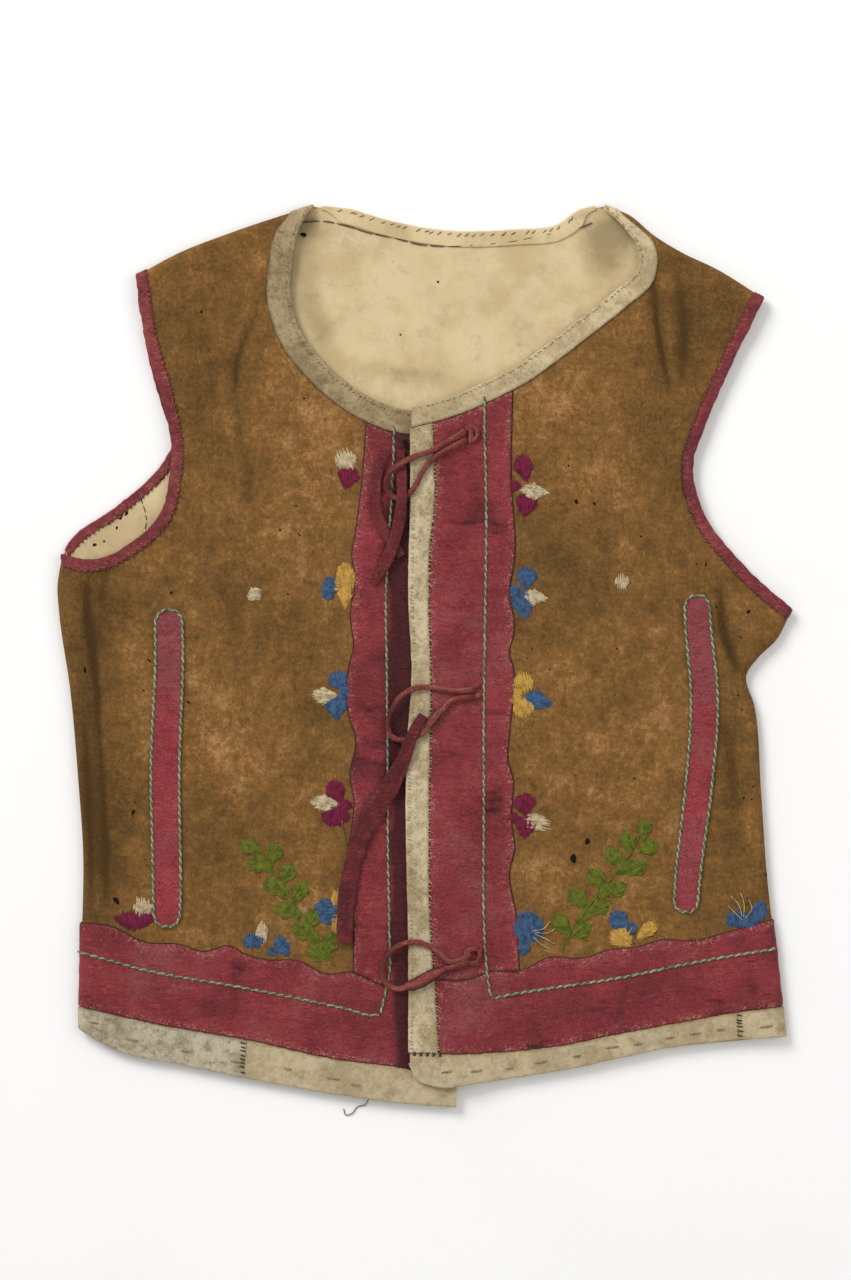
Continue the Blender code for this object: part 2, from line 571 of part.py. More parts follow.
class Vest:
    """The measured lines, the faces that pieces lie on, and the shares at which the meshes have points."""

    def __init__(self):
        self.right_side, self.right_shoulder = Line(RIGHT_SIDE), Line(RIGHT_SHOULDER)
        self.right_armhole, self.right_neck = Line(RIGHT_ARMHOLE), Line(RIGHT_NECK)
        self.right_hem, self.right_edge = Line(RIGHT_HEM), Line(RIGHT_FRONT_EDGE)
        self.left_side, self.left_shoulder = Line(LEFT_SIDE), Line(LEFT_SHOULDER)
        self.left_armhole, self.left_neck = Line(LEFT_ARMHOLE), Line(LEFT_NECK)
        self.left_hem, self.left_edge = Line(LEFT_HEM), Line(LEFT_FRONT_EDGE)
        self.back_neck, self.back_hem = Line(BACK_NECK), Line(BACK_HEM)
        self.back_right_armhole, self.back_left_armhole = Line(BACK_RIGHT_ARMHOLE), Line(BACK_LEFT_ARMHOLE)
        self.right_strip_top, self.left_strip_top = Line(RIGHT_HEM_STRIP_TOP), Line(LEFT_HEM_STRIP_TOP)
        self.right_band_top, self.left_band_top = Line(RIGHT_HEM_BAND_TOP), Line(LEFT_HEM_BAND_TOP)
        self.strip_inner = Line(EDGE_STRIP_INNER)
        right_folds, left_folds = [self.right_side, self.right_shoulder], [self.left_side, self.left_shoulder]
        self.right = Front(Outline(right_folds, (-100, -50)), RIGHT_FOLDS, self.press)
        self.left = Front(Outline(left_folds, (100, -50)), LEFT_FOLDS, self.climb)
        self.back = Back(Outline(right_folds + left_folds, (0, 0)))
        self.measure_shares()

    def climb(self, plan):
        """How the left front climbs over the hidden edge of the right one."""
        edge_x, edge_y = self.right_edge.points.T
        beyond = plan[..., 0] - np.interp(plan[..., 1], edge_y, edge_x) - LAP_LEVEL
        return LAP_RISE * (1 - smooth_step(beyond / LAP_SLOPE))

    def press(self, plan):
        """How the left front presses the right one down."""
        return -LAP_DIP * smooth_step((plan[..., 0] - LAP_DIP_FROM) / LAP_DIP_WIDTH)

    def measure_shares(self):
        """Columns run from a front edge to the side, and rows up the side and armhole, or edge and neck."""
        self.columns = np.concatenate([FRONT_COLUMNS, fold_shares(HALF_WIDTH)])
        side = fold_shares(2 * HALF_WIDTH)
        neck_width = BACK_NECK_END - BACK_NECK_START
        at_corner = neck_width * NECK_CLEAR / self.back_neck.length
        self.back_columns = np.concatenate([
            1 - side[:0:-1],
            np.linspace(1 - side[0], BACK_NECK_START, SHOULDER_COLUMNS)[:-1],
            [BACK_NECK_START],
            np.linspace(BACK_NECK_START + at_corner, BACK_NECK_END - at_corner, BACK_NECK_COLUMNS),
            np.linspace(BACK_NECK_END, side[0], SHOULDER_COLUMNS)[:-1],
            side,
        ])
        self.neck_shares = np.concatenate([NECK_SHARES, fold_shares(NECK_LENGTH)])
        self.back_neck_shares = (self.back_columns - BACK_NECK_START) / neck_width
        from_corner = (1 - UNDERARM) * (1 - fold_shares(ARMHOLE_LENGTH)[::-1])
        above = np.concatenate([
            UNDERARM + from_corner,
            np.linspace(UNDERARM + from_corner[-1], NECK_CORNER, UPPER_ROWS)[1:-1],
            NECK_CORNER + (1 - NECK_CORNER) * self.neck_shares,
        ])
        self.rows = np.concatenate([UNDERARM * SIDE_SHARES, above])
        self.armhole_shares = (above - UNDERARM) / (1 - UNDERARM)


def body_panels(vest, suede, cream):
    """The two fronts and the back."""
    shoulders = [vest.right_shoulder.reversed(), vest.back_neck, vest.left_shoulder]
    right = Patch(
        vest.right_hem, vest.right_shoulder, Cornered([vest.right_edge, vest.right_neck], [NECK_CORNER]),
        Cornered([vest.right_side, vest.right_armhole], [UNDERARM]))
    left = Patch(
        vest.left_hem, vest.left_shoulder, Cornered([vest.left_edge, vest.left_neck], [NECK_CORNER]),
        Cornered([vest.left_side, vest.left_armhole], [UNDERARM]))
    back = Patch(
        vest.back_hem, Cornered(shoulders, [BACK_NECK_START, BACK_NECK_END]),
        Cornered([vest.right_side, vest.back_right_armhole], [UNDERARM]),
        Cornered([vest.left_side, vest.back_left_armhole], [UNDERARM]))
    panels = (
        ("front_right", vest.right, suede, vest.columns, right),
        ("front_left", vest.left, suede, vest.columns, left),
        ("back", vest.back, cream, vest.back_columns, back),
    )
    for name, surface, finish, across, patch in panels:
        points, normal = surface.face(patch.plan(across, vest.rows))
        slab(name, points, points - WALL * normal, finish)


def neck_bindings(vest, cream):
    """They lie outside on the fronts and inside on the back. It returns the fronts' plan rows."""
    right = beside(vest.right_neck, RIGHT_NECK_STRIP, vest.neck_shares, RIGHT_NECK_ENDS, NECK_COLUMNS)
    taper = np.interp(vest.neck_shares, [LEFT_NECK_TAPER_FROM, 1.0], [1.0, LEFT_NECK_TAPER])
    left = beside(vest.left_neck, -LEFT_NECK_STRIP * taper, vest.neck_shares, LEFT_NECK_ENDS, NECK_COLUMNS)
    turned_over("neck_binding_right", vest.right, right, cream)
    turned_over("neck_binding_left", vest.left, left, cream, gap=CORNER_GAP)
    clear = NECK_CLEAR / vest.back_neck.length
    shares = between(vest.back_neck_shares, clear, 1 - clear)
    back = beside(vest.back_neck, -BACK_NECK_STRIP, shares, BACK_NECK_ENDS, STRIP_COLUMNS)
    turned_over("neck_binding_back", vest.back, back, cream, reach=BACK_REACH)
    return right, left


def armhole_bindings(vest, red):
    """One on each front's armhole, and inside each of the back's. The sign of a width is its side."""
    front, back = ARMHOLE_STRIP, BACK_ARMHOLE_STRIP
    edges = (
        ("front_right", vest.right, vest.right_armhole, -front, RIGHT_ARMHOLE_ENDS),
        ("front_left", vest.left, vest.left_armhole, front, LEFT_ARMHOLE_ENDS),
        ("back_right", vest.back, vest.back_right_armhole, -back, RIGHT_ARMHOLE_ENDS),
        ("back_left", vest.back, vest.back_left_armhole, back, LEFT_ARMHOLE_ENDS),
    )
    for panel, surface, edge, width, ends in edges:
        shares, reach = vest.armhole_shares, WALL
        if surface is vest.back:
            clear = FOLD_CLEAR / edge.length
            shares = between(shares, clear, 1 - clear)
            reach = BACK_REACH
        plan = beside(edge, width, shares, ends, STRIP_COLUMNS)
        turned_over("armhole_binding_" + panel, surface, plan, red, reach=reach)


def hem_strips(vest, cream):
    """Each front's in two pieces that meet end to end, and the one inside the back's hem."""
    hems = (
        ("hem_strip_right", vest.right, vest.right_hem, vest.right_strip_top, RIGHT_HEM_JOIN_X),
        ("hem_strip_left", vest.left, vest.left_hem, vest.left_strip_top, LEFT_HEM_JOIN_X),
    )
    for name, surface, hem, strip_top, join_x in hems:
        join = hem.share_where(0, join_x)
        seam = 0.5 * GAP / hem.length
        for piece, start, end in (("_front", 0.0, join - seam), ("_side", join + seam, 1.0)):
            shares = between(vest.columns, start, end)
            plan = ruled(hem, shares, strip_top, matched(shares, hem, strip_top), STRIP_COLUMNS)
            turned_over(name + piece, surface, plan, cream)
    clear = FOLD_CLEAR / vest.back_hem.length
    shares = between(vest.back_columns, clear, 1 - clear)
    back = beside(vest.back_hem, BACK_HEM_STRIP, shares, BACK_HEM_ENDS, STRIP_COLUMNS)
    turned_over("hem_strip_back", vest.back, back, cream, reach=BACK_REACH)


def front_edge_strip(vest, cream):
    """The strip down the left front edge, between the hem strip and the neck binding."""
    start = vest.left_edge.share_where(1, LEFT_HEM_STRIP_TOP[0][1] + GAP)
    end = vest.left_edge.share_where(1, LEFT_NECK[0][1] - LEFT_NECK_STRIP - GAP)
    edge = vest.left_edge.at(between(vest.rows[vest.rows <= NECK_CORNER] / NECK_CORNER, start, end))
    inner_x = np.interp(edge[:, 1], vest.strip_inner.points[:, 1], vest.strip_inner.points[:, 0])
    inner = np.stack([inner_x, edge[:, 1]], axis=-1)
    steps = np.linspace(0, 1, STRIP_COLUMNS + 1)[None, :, None]
    turned_over("front_edge_strip", vest.left, edge[:, None] * (1 - steps) + inner[:, None] * steps, cream)


def hem_bands(vest, red):
    """The red bands above the hem strips. The left one starts beside the front edge strip."""
    low_x, high_x = EDGE_STRIP_INNER[0][0] + 2 * GAP, EDGE_STRIP_INNER[1][0] + 3 * GAP
    right_low = Line.through(vest.right_strip_top.points + np.array([0, GAP]))
    left_low = Line.through(vest.left_strip_top.points + np.array([0, GAP]))
    left_low = left_low.part(left_low.share_where(0, low_x), 1.0)
    left_high = vest.left_band_top.part(vest.left_band_top.share_where(0, high_x), 1.0)
    bands = (
        ("hem_band_right", vest.right, right_low, vest.right_band_top),
        ("hem_band_left", vest.left, left_low, left_high),
    )
    for name, surface, low, high in bands:
        plan = ruled(low, vest.columns, high, matched(vest.columns, low, high), HEM_BAND_COLUMNS)
        laid_on(name, surface, plan, red)


def front_bands(vest, red, right_neck_rows, left_neck_rows):
    """The red bands up the front edges, from the hem bands to the neck bindings."""
    hidden_edge = Line.through(vest.right_edge.points - np.array([BAND_INSET, 0]))
    strip_edge = Line.through(vest.strip_inner.points + np.array([GAP, 0]))
    bands = (
        ("front_band_right", vest.right, hidden_edge, RIGHT_BAND_OUTER, vest.right_band_top, right_neck_rows),
        ("front_band_left", vest.left, strip_edge, LEFT_BAND_OUTER, vest.left_band_top, left_neck_rows),
    )
    for name, surface, inner, outer, low, neck_rows in bands:
        bottom = Line.through(low.points + np.array([0, BESIDE_BAND]))
        top = inner_line(neck_rows, BESIDE_BAND).part(0.0, 0.5)
        plan = upright(inner, Line(outer), bottom, top, FRONT_BAND_COLUMNS, FRONT_BAND_ROWS)
        laid_on(name, surface, plan, red)


def build():
    for old in list(bpy.data.objects):
        bpy.data.objects.remove(old)
    suede = leather("brown_suede", BROWN, 0.95)
    cream = leather("cream_leather", CREAM, 0.85)
    red = leather("red_leather", RED, 0.55)
    tie_red = leather("tie_leather", TIE_RED, 0.6)
    vest = Vest()
    body_panels(vest, suede, cream)
    right_neck_rows, left_neck_rows = neck_bindings(vest, cream)
    armhole_bindings(vest, red)
    hem_strips(vest, cream)
    front_edge_strip(vest, cream)
    hem_bands(vest, red)
    front_bands(vest, red, right_neck_rows, left_neck_rows)
    welt("pocket_strip_right", vest.right, RIGHT_WELT, red)
    welt("pocket_strip_left", vest.left, LEFT_WELT, red)
    loop("tie_loop_top", TOP_LOOP, tie_red)
    loop("tie_loop_middle", MIDDLE_LOOP, tie_red)
    loop("tie_loop_bottom", BOTTOM_LOOP, tie_red)
    tail("tie_end_top_inner", TOP_TAIL_INNER, tie_red)
    tail("tie_end_top_outer", TOP_TAIL_OUTER, tie_red)
    tail("tie_end_middle", MIDDLE_TAIL, tie_red)


build()
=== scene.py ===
"""A leather folk vest laid flat on its back, dressed over its CAD frame.

Tables and sizes are in millimetres, measured from the middle of the laid-out vest as a maker would,
with the neck towards +Y and the wearer's right front at -X. Meshes are in metres.
Each panel, strip, band, tie and stitch is a surface worked out on a grid with numpy.
"""
from __future__ import annotations

import logging
import math
from dataclasses import dataclass, field
from enum import Enum
from typing import Any, Callable, Mapping, NamedTuple, Protocol, Sequence, Union

import bpy
import numpy as np
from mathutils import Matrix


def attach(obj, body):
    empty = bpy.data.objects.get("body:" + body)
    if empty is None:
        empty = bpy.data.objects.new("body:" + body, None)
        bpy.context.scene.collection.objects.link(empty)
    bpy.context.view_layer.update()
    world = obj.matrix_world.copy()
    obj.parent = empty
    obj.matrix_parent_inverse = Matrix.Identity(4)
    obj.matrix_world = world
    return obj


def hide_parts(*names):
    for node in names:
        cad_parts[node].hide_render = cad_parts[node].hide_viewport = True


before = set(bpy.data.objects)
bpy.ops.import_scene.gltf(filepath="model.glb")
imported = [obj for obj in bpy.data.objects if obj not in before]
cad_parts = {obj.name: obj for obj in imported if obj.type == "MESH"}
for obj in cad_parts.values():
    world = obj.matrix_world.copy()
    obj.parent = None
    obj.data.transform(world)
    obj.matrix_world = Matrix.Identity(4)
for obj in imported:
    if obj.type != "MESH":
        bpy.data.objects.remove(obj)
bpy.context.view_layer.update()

LOG = logging.getLogger("vest")
Array = np.ndarray
Thing = bpy.types.Object
Finish = bpy.types.Material
Colour = tuple[float, float, float]
Spot = tuple[float, float]

MM = 0.001
ORIGIN = np.array([-0.073, -0.393, 0.0])

# How the leather lies, as the CAD has it.
WALL = 2.0
SEAM_GAP = 0.12
SEAM_HEIGHT = 3.9
FOLD_REACH = 6.0
FRONT_TOP = 6.2
FOLD_RISE = 1.6
FOLD_RISE_REACH = 30.0
LAP_RISE = 3.4
LAP_LEVEL = 3.0
LAP_SLOPE = 30.0
LAP_DIP = 0.4
UNDERARM = 0.42
NECK_CORNER = 0.66
BACK_NECK_START = 0.27
BACK_NECK_END = 0.72
HALF_WIDTH = 225.0
NECK_LENGTH = 180.0
ARMHOLE_LENGTH = 230.0

# How the trimmings lie on it.
SEAT = 0.12
STRIP_THICKNESS = 0.95
BAND_THICKNESS = 0.85
BEVEL = 0.9
BEVEL_LEAST = 0.3
BAND_CREASE_SHADE = 1.1
ARMHOLE_STITCH = 3.4


class Fold(NamedTuple):
    """A straight ridge, or a trough where rise is negative."""

    x0: float
    y0: float
    x1: float
    y1: float
    rise: float
    width: float


class Crease(NamedTuple):
    """A bent trough or ridge that fades out at its two ends."""

    way: tuple[Spot, ...]
    rise: float
    width: float


class Blotch(NamedTuple):
    """A soft patch of colour: its middle, half sizes, turn in degrees and strength."""

    x: float
    y: float
    wide: float
    high: float
    turn: float
    strength: float


class Rib(NamedTuple):
    """The middle and width of a strip at one place."""

    x: float
    y: float
    width: float


class Way(NamedTuple):
    """A place that a thong passes, z from the ground."""

    x: float
    y: float
    z: float


class Tail(NamedTuple):
    """A place that a flat tie end passes, and its width there."""

    x: float
    y: float
    z: float
    width: float


def rows(kind: type, table: Sequence[tuple]) -> list[Any]:
    """The rows of a table, each as a record of its kind."""
    return [kind(*row) for row in table]


RIGHT_HEM = [(19, -281), (-19, -278), (-79, -269), (-144, -256), (-196, -244), (-216, -232)]
RIGHT_SIDE = [(-216, -232), (-215, -184), (-214, -122), (-217, -78), (-222, -22), (-229, 27), (-230, 42),
              (-227, 62)]
RIGHT_ARMHOLE = [(-227, 62), (-212, 58.5), (-198, 61), (-184, 69), (-165, 87), (-159, 110), (-158, 130),
                 (-166, 168), (-174, 196), (-180, 237)]
RIGHT_SHOULDER = [(-71, 280), (-94, 273), (-126, 262), (-154, 251), (-180, 237)]
RIGHT_NECK = [(-1, 150), (-22, 154), (-44, 165), (-63, 181), (-78, 200), (-85, 222), (-84, 244), (-80, 266),
              (-71, 280)]
RIGHT_FRONT_EDGE = [(19, -281), (14, -122), (8, 34), (-1, 150)]

LEFT_HEM = [(-10, -254), (-5, -264), (7, -268), (37, -265), (84, -258), (151, -244), (192, -239), (224, -237)]
LEFT_SIDE = [(224, -237), (218, -184), (213, -140), (209, -84), (205, -32), (200, -12), (207, -2), (219, 10),
             (228, 28)]
LEFT_ARMHOLE = [(228, 28), (212, 41), (195, 58), (174, 85), (167, 103), (166, 122), (171, 138), (181, 162),
                (198, 199), (210, 223)]
LEFT_SHOULDER = [(112, 280), (126, 275), (142, 262), (160, 251), (181, 241), (210, 223)]
LEFT_NECK = [(-9, 153), (9, 158), (34, 168), (59, 181), (81, 197), (99, 211), (118, 226), (133, 241),
             (133, 254), (125, 266), (112, 280)]
LEFT_FRONT_EDGE = [(-10, -254), (-10, -191), (-11, -59), (-8, -12), (-10, 34), (-9, 97), (-9, 153)]

BACK_HEM = [(-216, -232), (-79, -256), (0, -260), (84, -250), (224, -237)]
BACK_RIGHT_ARMHOLE = [(-227, 62), (-222, 70), (-191, 93), (-162, 122), (-157, 133), (-162, 150), (-170, 176),
                      (-180, 237)]
BACK_LEFT_ARMHOLE = [(228, 28), (210, 38), (190, 54), (170, 83), (162, 102), (163, 130), (177, 163),
                     (196, 201), (210, 223)]
BACK_NECK = [(-71, 280), (-48, 277.5), (-22, 270), (15, 264), (59, 265), (80, 267), (99, 278), (112, 280)]

RIGHT_HEM_STRIP_TOP = [(19, -266), (-12, -258), (-56, -252), (-111, -240), (-168, -230), (-216, -219)]
LEFT_HEM_STRIP_TOP = [(-10, -247.6), (9, -248.4), (46, -247.6), (84, -243.5), (121, -236), (159, -229),
                      (192, -223), (222, -219)]
RIGHT_HEM_BAND_TOP = [(18, -212), (-10, -209), (-27, -206), (-46, -198), (-63, -199), (-79, -191),
                      (-101, -190), (-114, -186), (-121, -182), (-140, -185), (-152, -181), (-176, -179),
                      (-197, -169), (-215, -167)]
LEFT_HEM_BAND_TOP = [(4, -202), (26, -202), (41, -197), (59, -197), (76, -189), (99, -189), (114, -184),
                     (132, -182), (146, -178), (168, -178), (191, -172), (216, -165)]
RIGHT_BAND_OUTER = [(-45, -198), (-45, -178), (-48, -123), (-45, -88), (-47, -78), (-44, -50), (-47, -41),
                    (-48, -8), (-45, 5), (-47, 24), (-44, 48), (-46, 61), (-43, 81), (-39, 117), (-37, 147)]
LEFT_BAND_OUTER = [(58, -197), (56, -162), (52, -134), (55, -122), (53, -102), (54, -77), (51, -66),
                   (52, -48), (54, -7), (52, 0), (55, 16), (52, 40), (55, 59), (53, 110), (54, 172)]
EDGE_STRIP_INNER = [(8, -249), (6, -210), (3, -174), (2, -102), (3, -12), (2, 48), (3, 72), (5, 89), (4, 150)]
RIGHT_HEM_JOIN_X = -114.0
LEFT_HEM_JOIN_X = 195.0

RIGHT_FOLDS = rows(Fold, [
    (-194, 20, -192, -150, -0.9, 11), (-108, 214, -130, 146, -1.2, 12), (-112, 110, -100, 10, 0.8, 18),
    (-37, 110, -37, -180, 0.8, 12), (-120, -212, -40, -222, 0.6, 16),
])
LEFT_FOLDS = rows(Fold, [
    (143, 232, 148, 164, -1.2, 11), (186, 22, 188, -10, -1.0, 11), (190, -40, 192, -110, -0.8, 11),
    (118, 60, 112, -90, 0.7, 18), (100, -212, 165, -203, 0.5, 16),
])

RIGHT_WELT = rows(Rib, [
    (-160.5, 29, 18.5), (-160, 3, 19.0), (-162.5, -68, 19.5), (-161.5, -141, 19.0), (-161.5, -170, 18.0),
])
LEFT_WELT = rows(Rib, [
    (168.5, 38, 17.0), (169.5, 20, 17.5), (173.5, -27, 18.5), (169.7, -84, 18.0), (163, -140, 17.0),
    (161.5, -161, 16.5),
])

TOP_LOOP = rows(Way, [
    (24.5, 140, 9.8), (22.5, 138.4, 11.2), (17, 135, 12.0), (9.5, 130.6, 12.8), (3, 127, 13.0),
    (-6, 123.8, 12.9), (-15, 119.5, 12.6), (-22.5, 113.5, 12.0), (-25, 106, 11.0), (-22.5, 100, 10.0),
    (-16.5, 97.5, 10.6), (-9.4, 101.5, 12.7), (-5.6, 107, 12.9), (-2.8, 113, 12.9), (1.5, 119.4, 12.9),
    (8.5, 125, 12.9), (16, 129.4, 12.1), (23, 133, 11.2), (25.4, 134.2, 9.8),
])
MIDDLE_LOOP = rows(Way, [
    (30.5, -21.0, 10.4), (28.5, -21.4, 11.6), (22, -22.2, 12.6), (14, -21.6, 13.0), (4, -20, 13.1),
    (-7, -20.6, 13.0), (-16, -26, 12.4), (-21, -34, 11.2), (-24, -43, 10.2), (-21.5, -50.5, 10.8),
    (-14, -53, 12.6), (-6.4, -51, 12.9), (0, -47, 13.0), (5, -41.5, 13.0), (10, -35, 13.0),
    (14.6, -29, 12.9), (20.5, -26.8, 12.7), (28.5, -25.9, 11.6), (30.5, -25.4, 10.4),
])
BOTTOM_LOOP = rows(Way, [
    (28, -186.2, 11.9), (26, -187.2, 12.5), (20.5, -189.9, 12.9), (14.5, -190.6, 13.2), (8.4, -185.5, 13.2),
    (1, -180.4, 13.2), (-8, -178.4, 13.2), (-16.5, -180.6, 12.6), (-23.5, -186.5, 11.4),
    (-27.4, -195, 10.4), (-25.5, -203.4, 10.3), (-19.5, -207.4, 11.4), (-12.2, -206.6, 12.9),
    (-3.5, -203, 13.0), (3.5, -199, 13.1), (10, -195.4, 13.2), (17, -194, 13.1), (24, -191.8, 12.7),
    (28, -190.4, 11.9),
])
TOP_TAIL_INNER = rows(Tail, [
    (-15.6, 128, 8.9, 4.0), (-15.4, 118, 9.0, 5.0), (-15, 107, 11.6, 5.5), (-15, 98, 14.4, 5.5),
    (-16, 88, 12.6, 6.0), (-18.7, 75, 10.4, 6.5), (-23, 62.5, 10.2, 6.5), (-28.7, 51.3, 9.8, 6.0),
    (-33, 44, 9.8, 3.0),
])
TOP_TAIL_OUTER = rows(Tail, [
    (-24, 128, 9.2, 3.5), (-29, 117, 9.4, 5.0), (-31.5, 100, 9.4, 6.0), (-30.5, 88, 9.4, 6.0),
    (-26.5, 78.5, 9.1, 6.0), (-21, 70, 8.7, 5.5), (-15.2, 61.5, 8.3, 4.5),
])
MIDDLE_TAIL = rows(Tail, [
    (-1.4, -37.6, 12.0, 5.0), (-5.4, -43.5, 14.0, 5.5), (-9, -51, 15.2, 6.0), (-13.6, -64, 13.0, 7.5),
    (-21, -79, 10.8, 9.5), (-31, -95, 10.4, 11.0), (-40.5, -113, 10.2, 9.5), (-46.5, -134, 9.8, 8.5),
    (-49.8, -155, 9.6, 9.0), (-50.6, -179, 9.4, 8.0),
])

TOP_KNOTS = [[(24.4, 140.4), (27.6, 142.2), (31.8, 139.6), (30.8, 134.8), (26.4, 133.6)],
             [(26.6, 143.6), (27.8, 138.4), (27.0, 131.6)]]
MIDDLE_KNOTS = [[(28.4, -20.4), (31.2, -18.4), (33.4, -17.2)], [(28.6, -26.2), (31.2, -25.6), (33.4, -23.6)]]
BOTTOM_KNOTS = [[(25.2, -184.4), (28.6, -182.8), (32.4, -183.4)],
                [(32.6, -183.0), (33.2, -187.0), (32.2, -190.6)],
                [(32.4, -191.0), (28.6, -191.8), (25.0, -190.6)],
                [(25.6, -182.4), (24.8, -187.0), (25.8, -191.4)]]
MIDDLE_RIBBON = rows(Tail, [
    (10, -33.5, 14.0, 3.5), (7, -36.5, 14.5, 4.8), (4, -40.5, 14.7, 5.2), (1.2, -44.5, 14.5, 3.8),
])
BOTTOM_RIBBON = rows(Tail, [
    (-13.0, -206.2, 13.9, 4.0), (-9.4, -205.4, 14.4, 5.6), (-3.5, -203, 14.6, 6.6),
    (2.5, -199.6, 14.7, 6.4), (7.5, -196.8, 14.7, 5.2), (12, -194.9, 14.6, 3.4),
])

# Finer creases of the leather, over the largest folds.
RIGHT_CREASES = rows(Crease, [
    (((-102, 224), (-108.5, 207), (-117, 186), (-119, 164)), -0.85, 3.0),
    (((-119, 178), (-117, 150), (-112, 118), (-104, 66)), -0.45, 2.6),
    (((-126, 184), (-125, 160), (-121, 128), (-114, 84)), 0.4, 4.5),
    (((-96, 250), (-101, 232), (-100, 216)), -0.4, 3.0),
    (((-118, 142), (-123, 120), (-121, 96)), -0.3, 5.0),
    (((-211, 50), (-211.5, 30), (-208, 5), (-203, -40)), -0.9, 2.4),
    (((-205, 10), (-200, -60), (-196, -120)), 0.4, 6.0),
    (((-206, -20), (-201, -80), (-199, -164)), -0.55, 2.6),
    (((-213, -40), (-210, -100), (-208, -160)), -0.4, 2.0),
    (((-196, 58), (-200, 46), (-204, 30)), -0.5, 2.4), (((-90, 208), (-99, 196), (-106, 180)), -0.3, 3.0),
    (((-196, 30), (-186, 0), (-184, -40)), 0.3, 6.0), (((-130, 60), (-122, 20), (-128, -20)), -0.25, 6.0),
    (((-80, 130), (-76, 90), (-82, 50)), 0.25, 7.0), (((-70, 20), (-76, -30), (-70, -80)), -0.25, 7.0),
    (((-140, -60), (-120, -80), (-90, -84)), 0.22, 6.0),
])
LEFT_CREASES = rows(Crease, [
    (((142, 244), (144.5, 203), (153, 160)), -1.0, 2.2), (((148, 232), (151, 203), (155, 168)), 0.5, 3.4),
    (((156, 244), (161, 203), (158, 160)), -0.55, 4.0), (((132, 236), (134, 214), (128, 196)), 0.35, 4.0),
    (((184.4, 52), (185, 12), (188.8, 2.5), (196, -13)), -1.1, 3.2),
    (((178, 40), (181, 14), (188, -12)), 0.4, 4.0), (((192, 46), (196, 26), (204, 8)), 0.5, 5.0),
    (((186, -30), (192, -80), (196, -140)), -0.4, 4.5), (((200, -40), (203, -90), (207, -150)), 0.35, 5.0),
    (((96, 150), (92, 110), (97, 70)), 0.25, 7.0), (((110, 40), (104, 0), (110, -50)), -0.25, 7.0),
    (((78, 60), (80, 10), (74, -40)), 0.22, 7.0), (((90, -60), (120, -76), (140, -70)), -0.2, 6.0),
])
RIGHT_BAND_CREASES = rows(Crease, [
    (((-14, 118), (-17, 60), (-15, 0), (-17, -60), (-15, -130)), -0.55, 3.0),
    (((-44, 20), (-32, 22), (-24, 19)), -0.3, 2.0), (((-46, -30), (-34, -34), (-25, -31)), -0.35, 2.2),
    (((-44, -62), (-36, -60), (-27, -66)), 0.3, 3.0),
    (((-120, -196), (-118, -214), (-122, -236)), -0.25, 2.5),
    (((-160, -184), (-156, -206), (-160, -226)), 0.25, 4.0),
    (((-60, -204), (-66, -226), (-60, -246)), -0.25, 3.0),
    (((-190, -178), (-186, -200), (-192, -222)), -0.25, 3.0),
])
LEFT_BAND_CREASES = rows(Crease, [
    (((6, 84), (20, 82), (34, 83)), -0.45, 1.6), (((40, 83), (48, 80), (54, 82)), -0.3, 1.6),
    (((6, 70), (22, 66), (36, 68)), -0.35, 1.8), (((8, 32), (24, 28), (36, 31)), -0.5, 1.8),
    (((8, 22), (22, 20), (34, 17)), 0.3, 2.5), (((38, 12), (46, 15), (52, 12)), -0.3, 1.8),
    (((6, -8), (18, -6), (34, -12)), 0.35, 3.0), (((10, -44), (24, -38), (35, -40)), -0.4, 2.2),
    (((14, -60), (26, -66), (32, -78)), -0.3, 2.4), (((38, -92), (46, -90), (52, -94)), -0.3, 2.0),
    (((10, -122), (12, -104), (30, -100)), -0.45, 2.4), (((12, -124), (16, -142), (32, -146)), -0.4, 2.6),
    (((38, -134), (46, -130), (53, -134)), -0.3, 2.2), (((12, -160), (24, -156), (34, -160)), -0.35, 2.2),
    (((70, -196), (66, -222), (70, -240)), -0.25, 2.6),
    (((120, -188), (124, -210), (118, -232)), -0.3, 3.0),
    (((170, -182), (166, -204), (172, -224)), 0.25, 4.0),
    (((205, -174), (202, -196), (206, -216)), -0.25, 3.0),
])

# Boxes that fine creases are strewn over: seed, lower left corner, upper right corner and count.
FINE_CREASES = {
    "right_band": (52, (-44, -195), (-18, 140), 26), "right_hem": (53, (-205, -245), (-30, -190), 22),
    "left_band": (62, (8, -195), (52, 145), 38), "left_hem": (63, (15, -245), (210, -186), 26),
    "right_welt": (72, (-168, -165), (-154, 20), 14), "left_welt": (82, (162, -155), (176, 30), 14),
}

# Patches of colour on the panels: above 0 warmer and lighter, below 0 darker. The long dark ones down the
# fronts' sides paint the shade of the folds there; the dark ones inside, near the neck's corners and edges,
# are partly stains and partly painted shade.
RIGHT_PATCHES = rows(Blotch, [
    (-75, 150, 32, 40, 20, 0.9), (-95, 235, 16, 30, 0, 0.8), (-60, 95, 30, 30, 0, 0.6),
    (-150, 215, 26, 20, 30, -0.6), (-135, 165, 22, 34, 0, -0.9), (-120, 110, 14, 30, 0, -0.4),
    (-165, 60, 30, 20, 20, 0.4), (-208, 5, 22, 80, 0, -1.2), (-206, -110, 24, 80, 0, -1.3),
    (-120, 30, 26, 16, 0, -0.4), (-175, -20, 14, 34, 0, 0.9), (-130, -30, 22, 26, 0, 0.7),
    (-110, -60, 40, 22, 15, 0.9), (-85, -80, 24, 20, 0, 0.6), (-180, -60, 14, 18, 0, 0.8),
    (-75, 20, 20, 28, 0, -0.3), (-130, -120, 20, 30, 0, -0.4), (-85, -155, 30, 16, 0, 0.9),
    (-65, -120, 14, 24, 0, 0.4), (-168, -150, 14, 14, 0, 0.4), (-50, -40, 12, 40, 0, -0.3),
    (-70, 56, 22, 16, 0, 0.3),
])
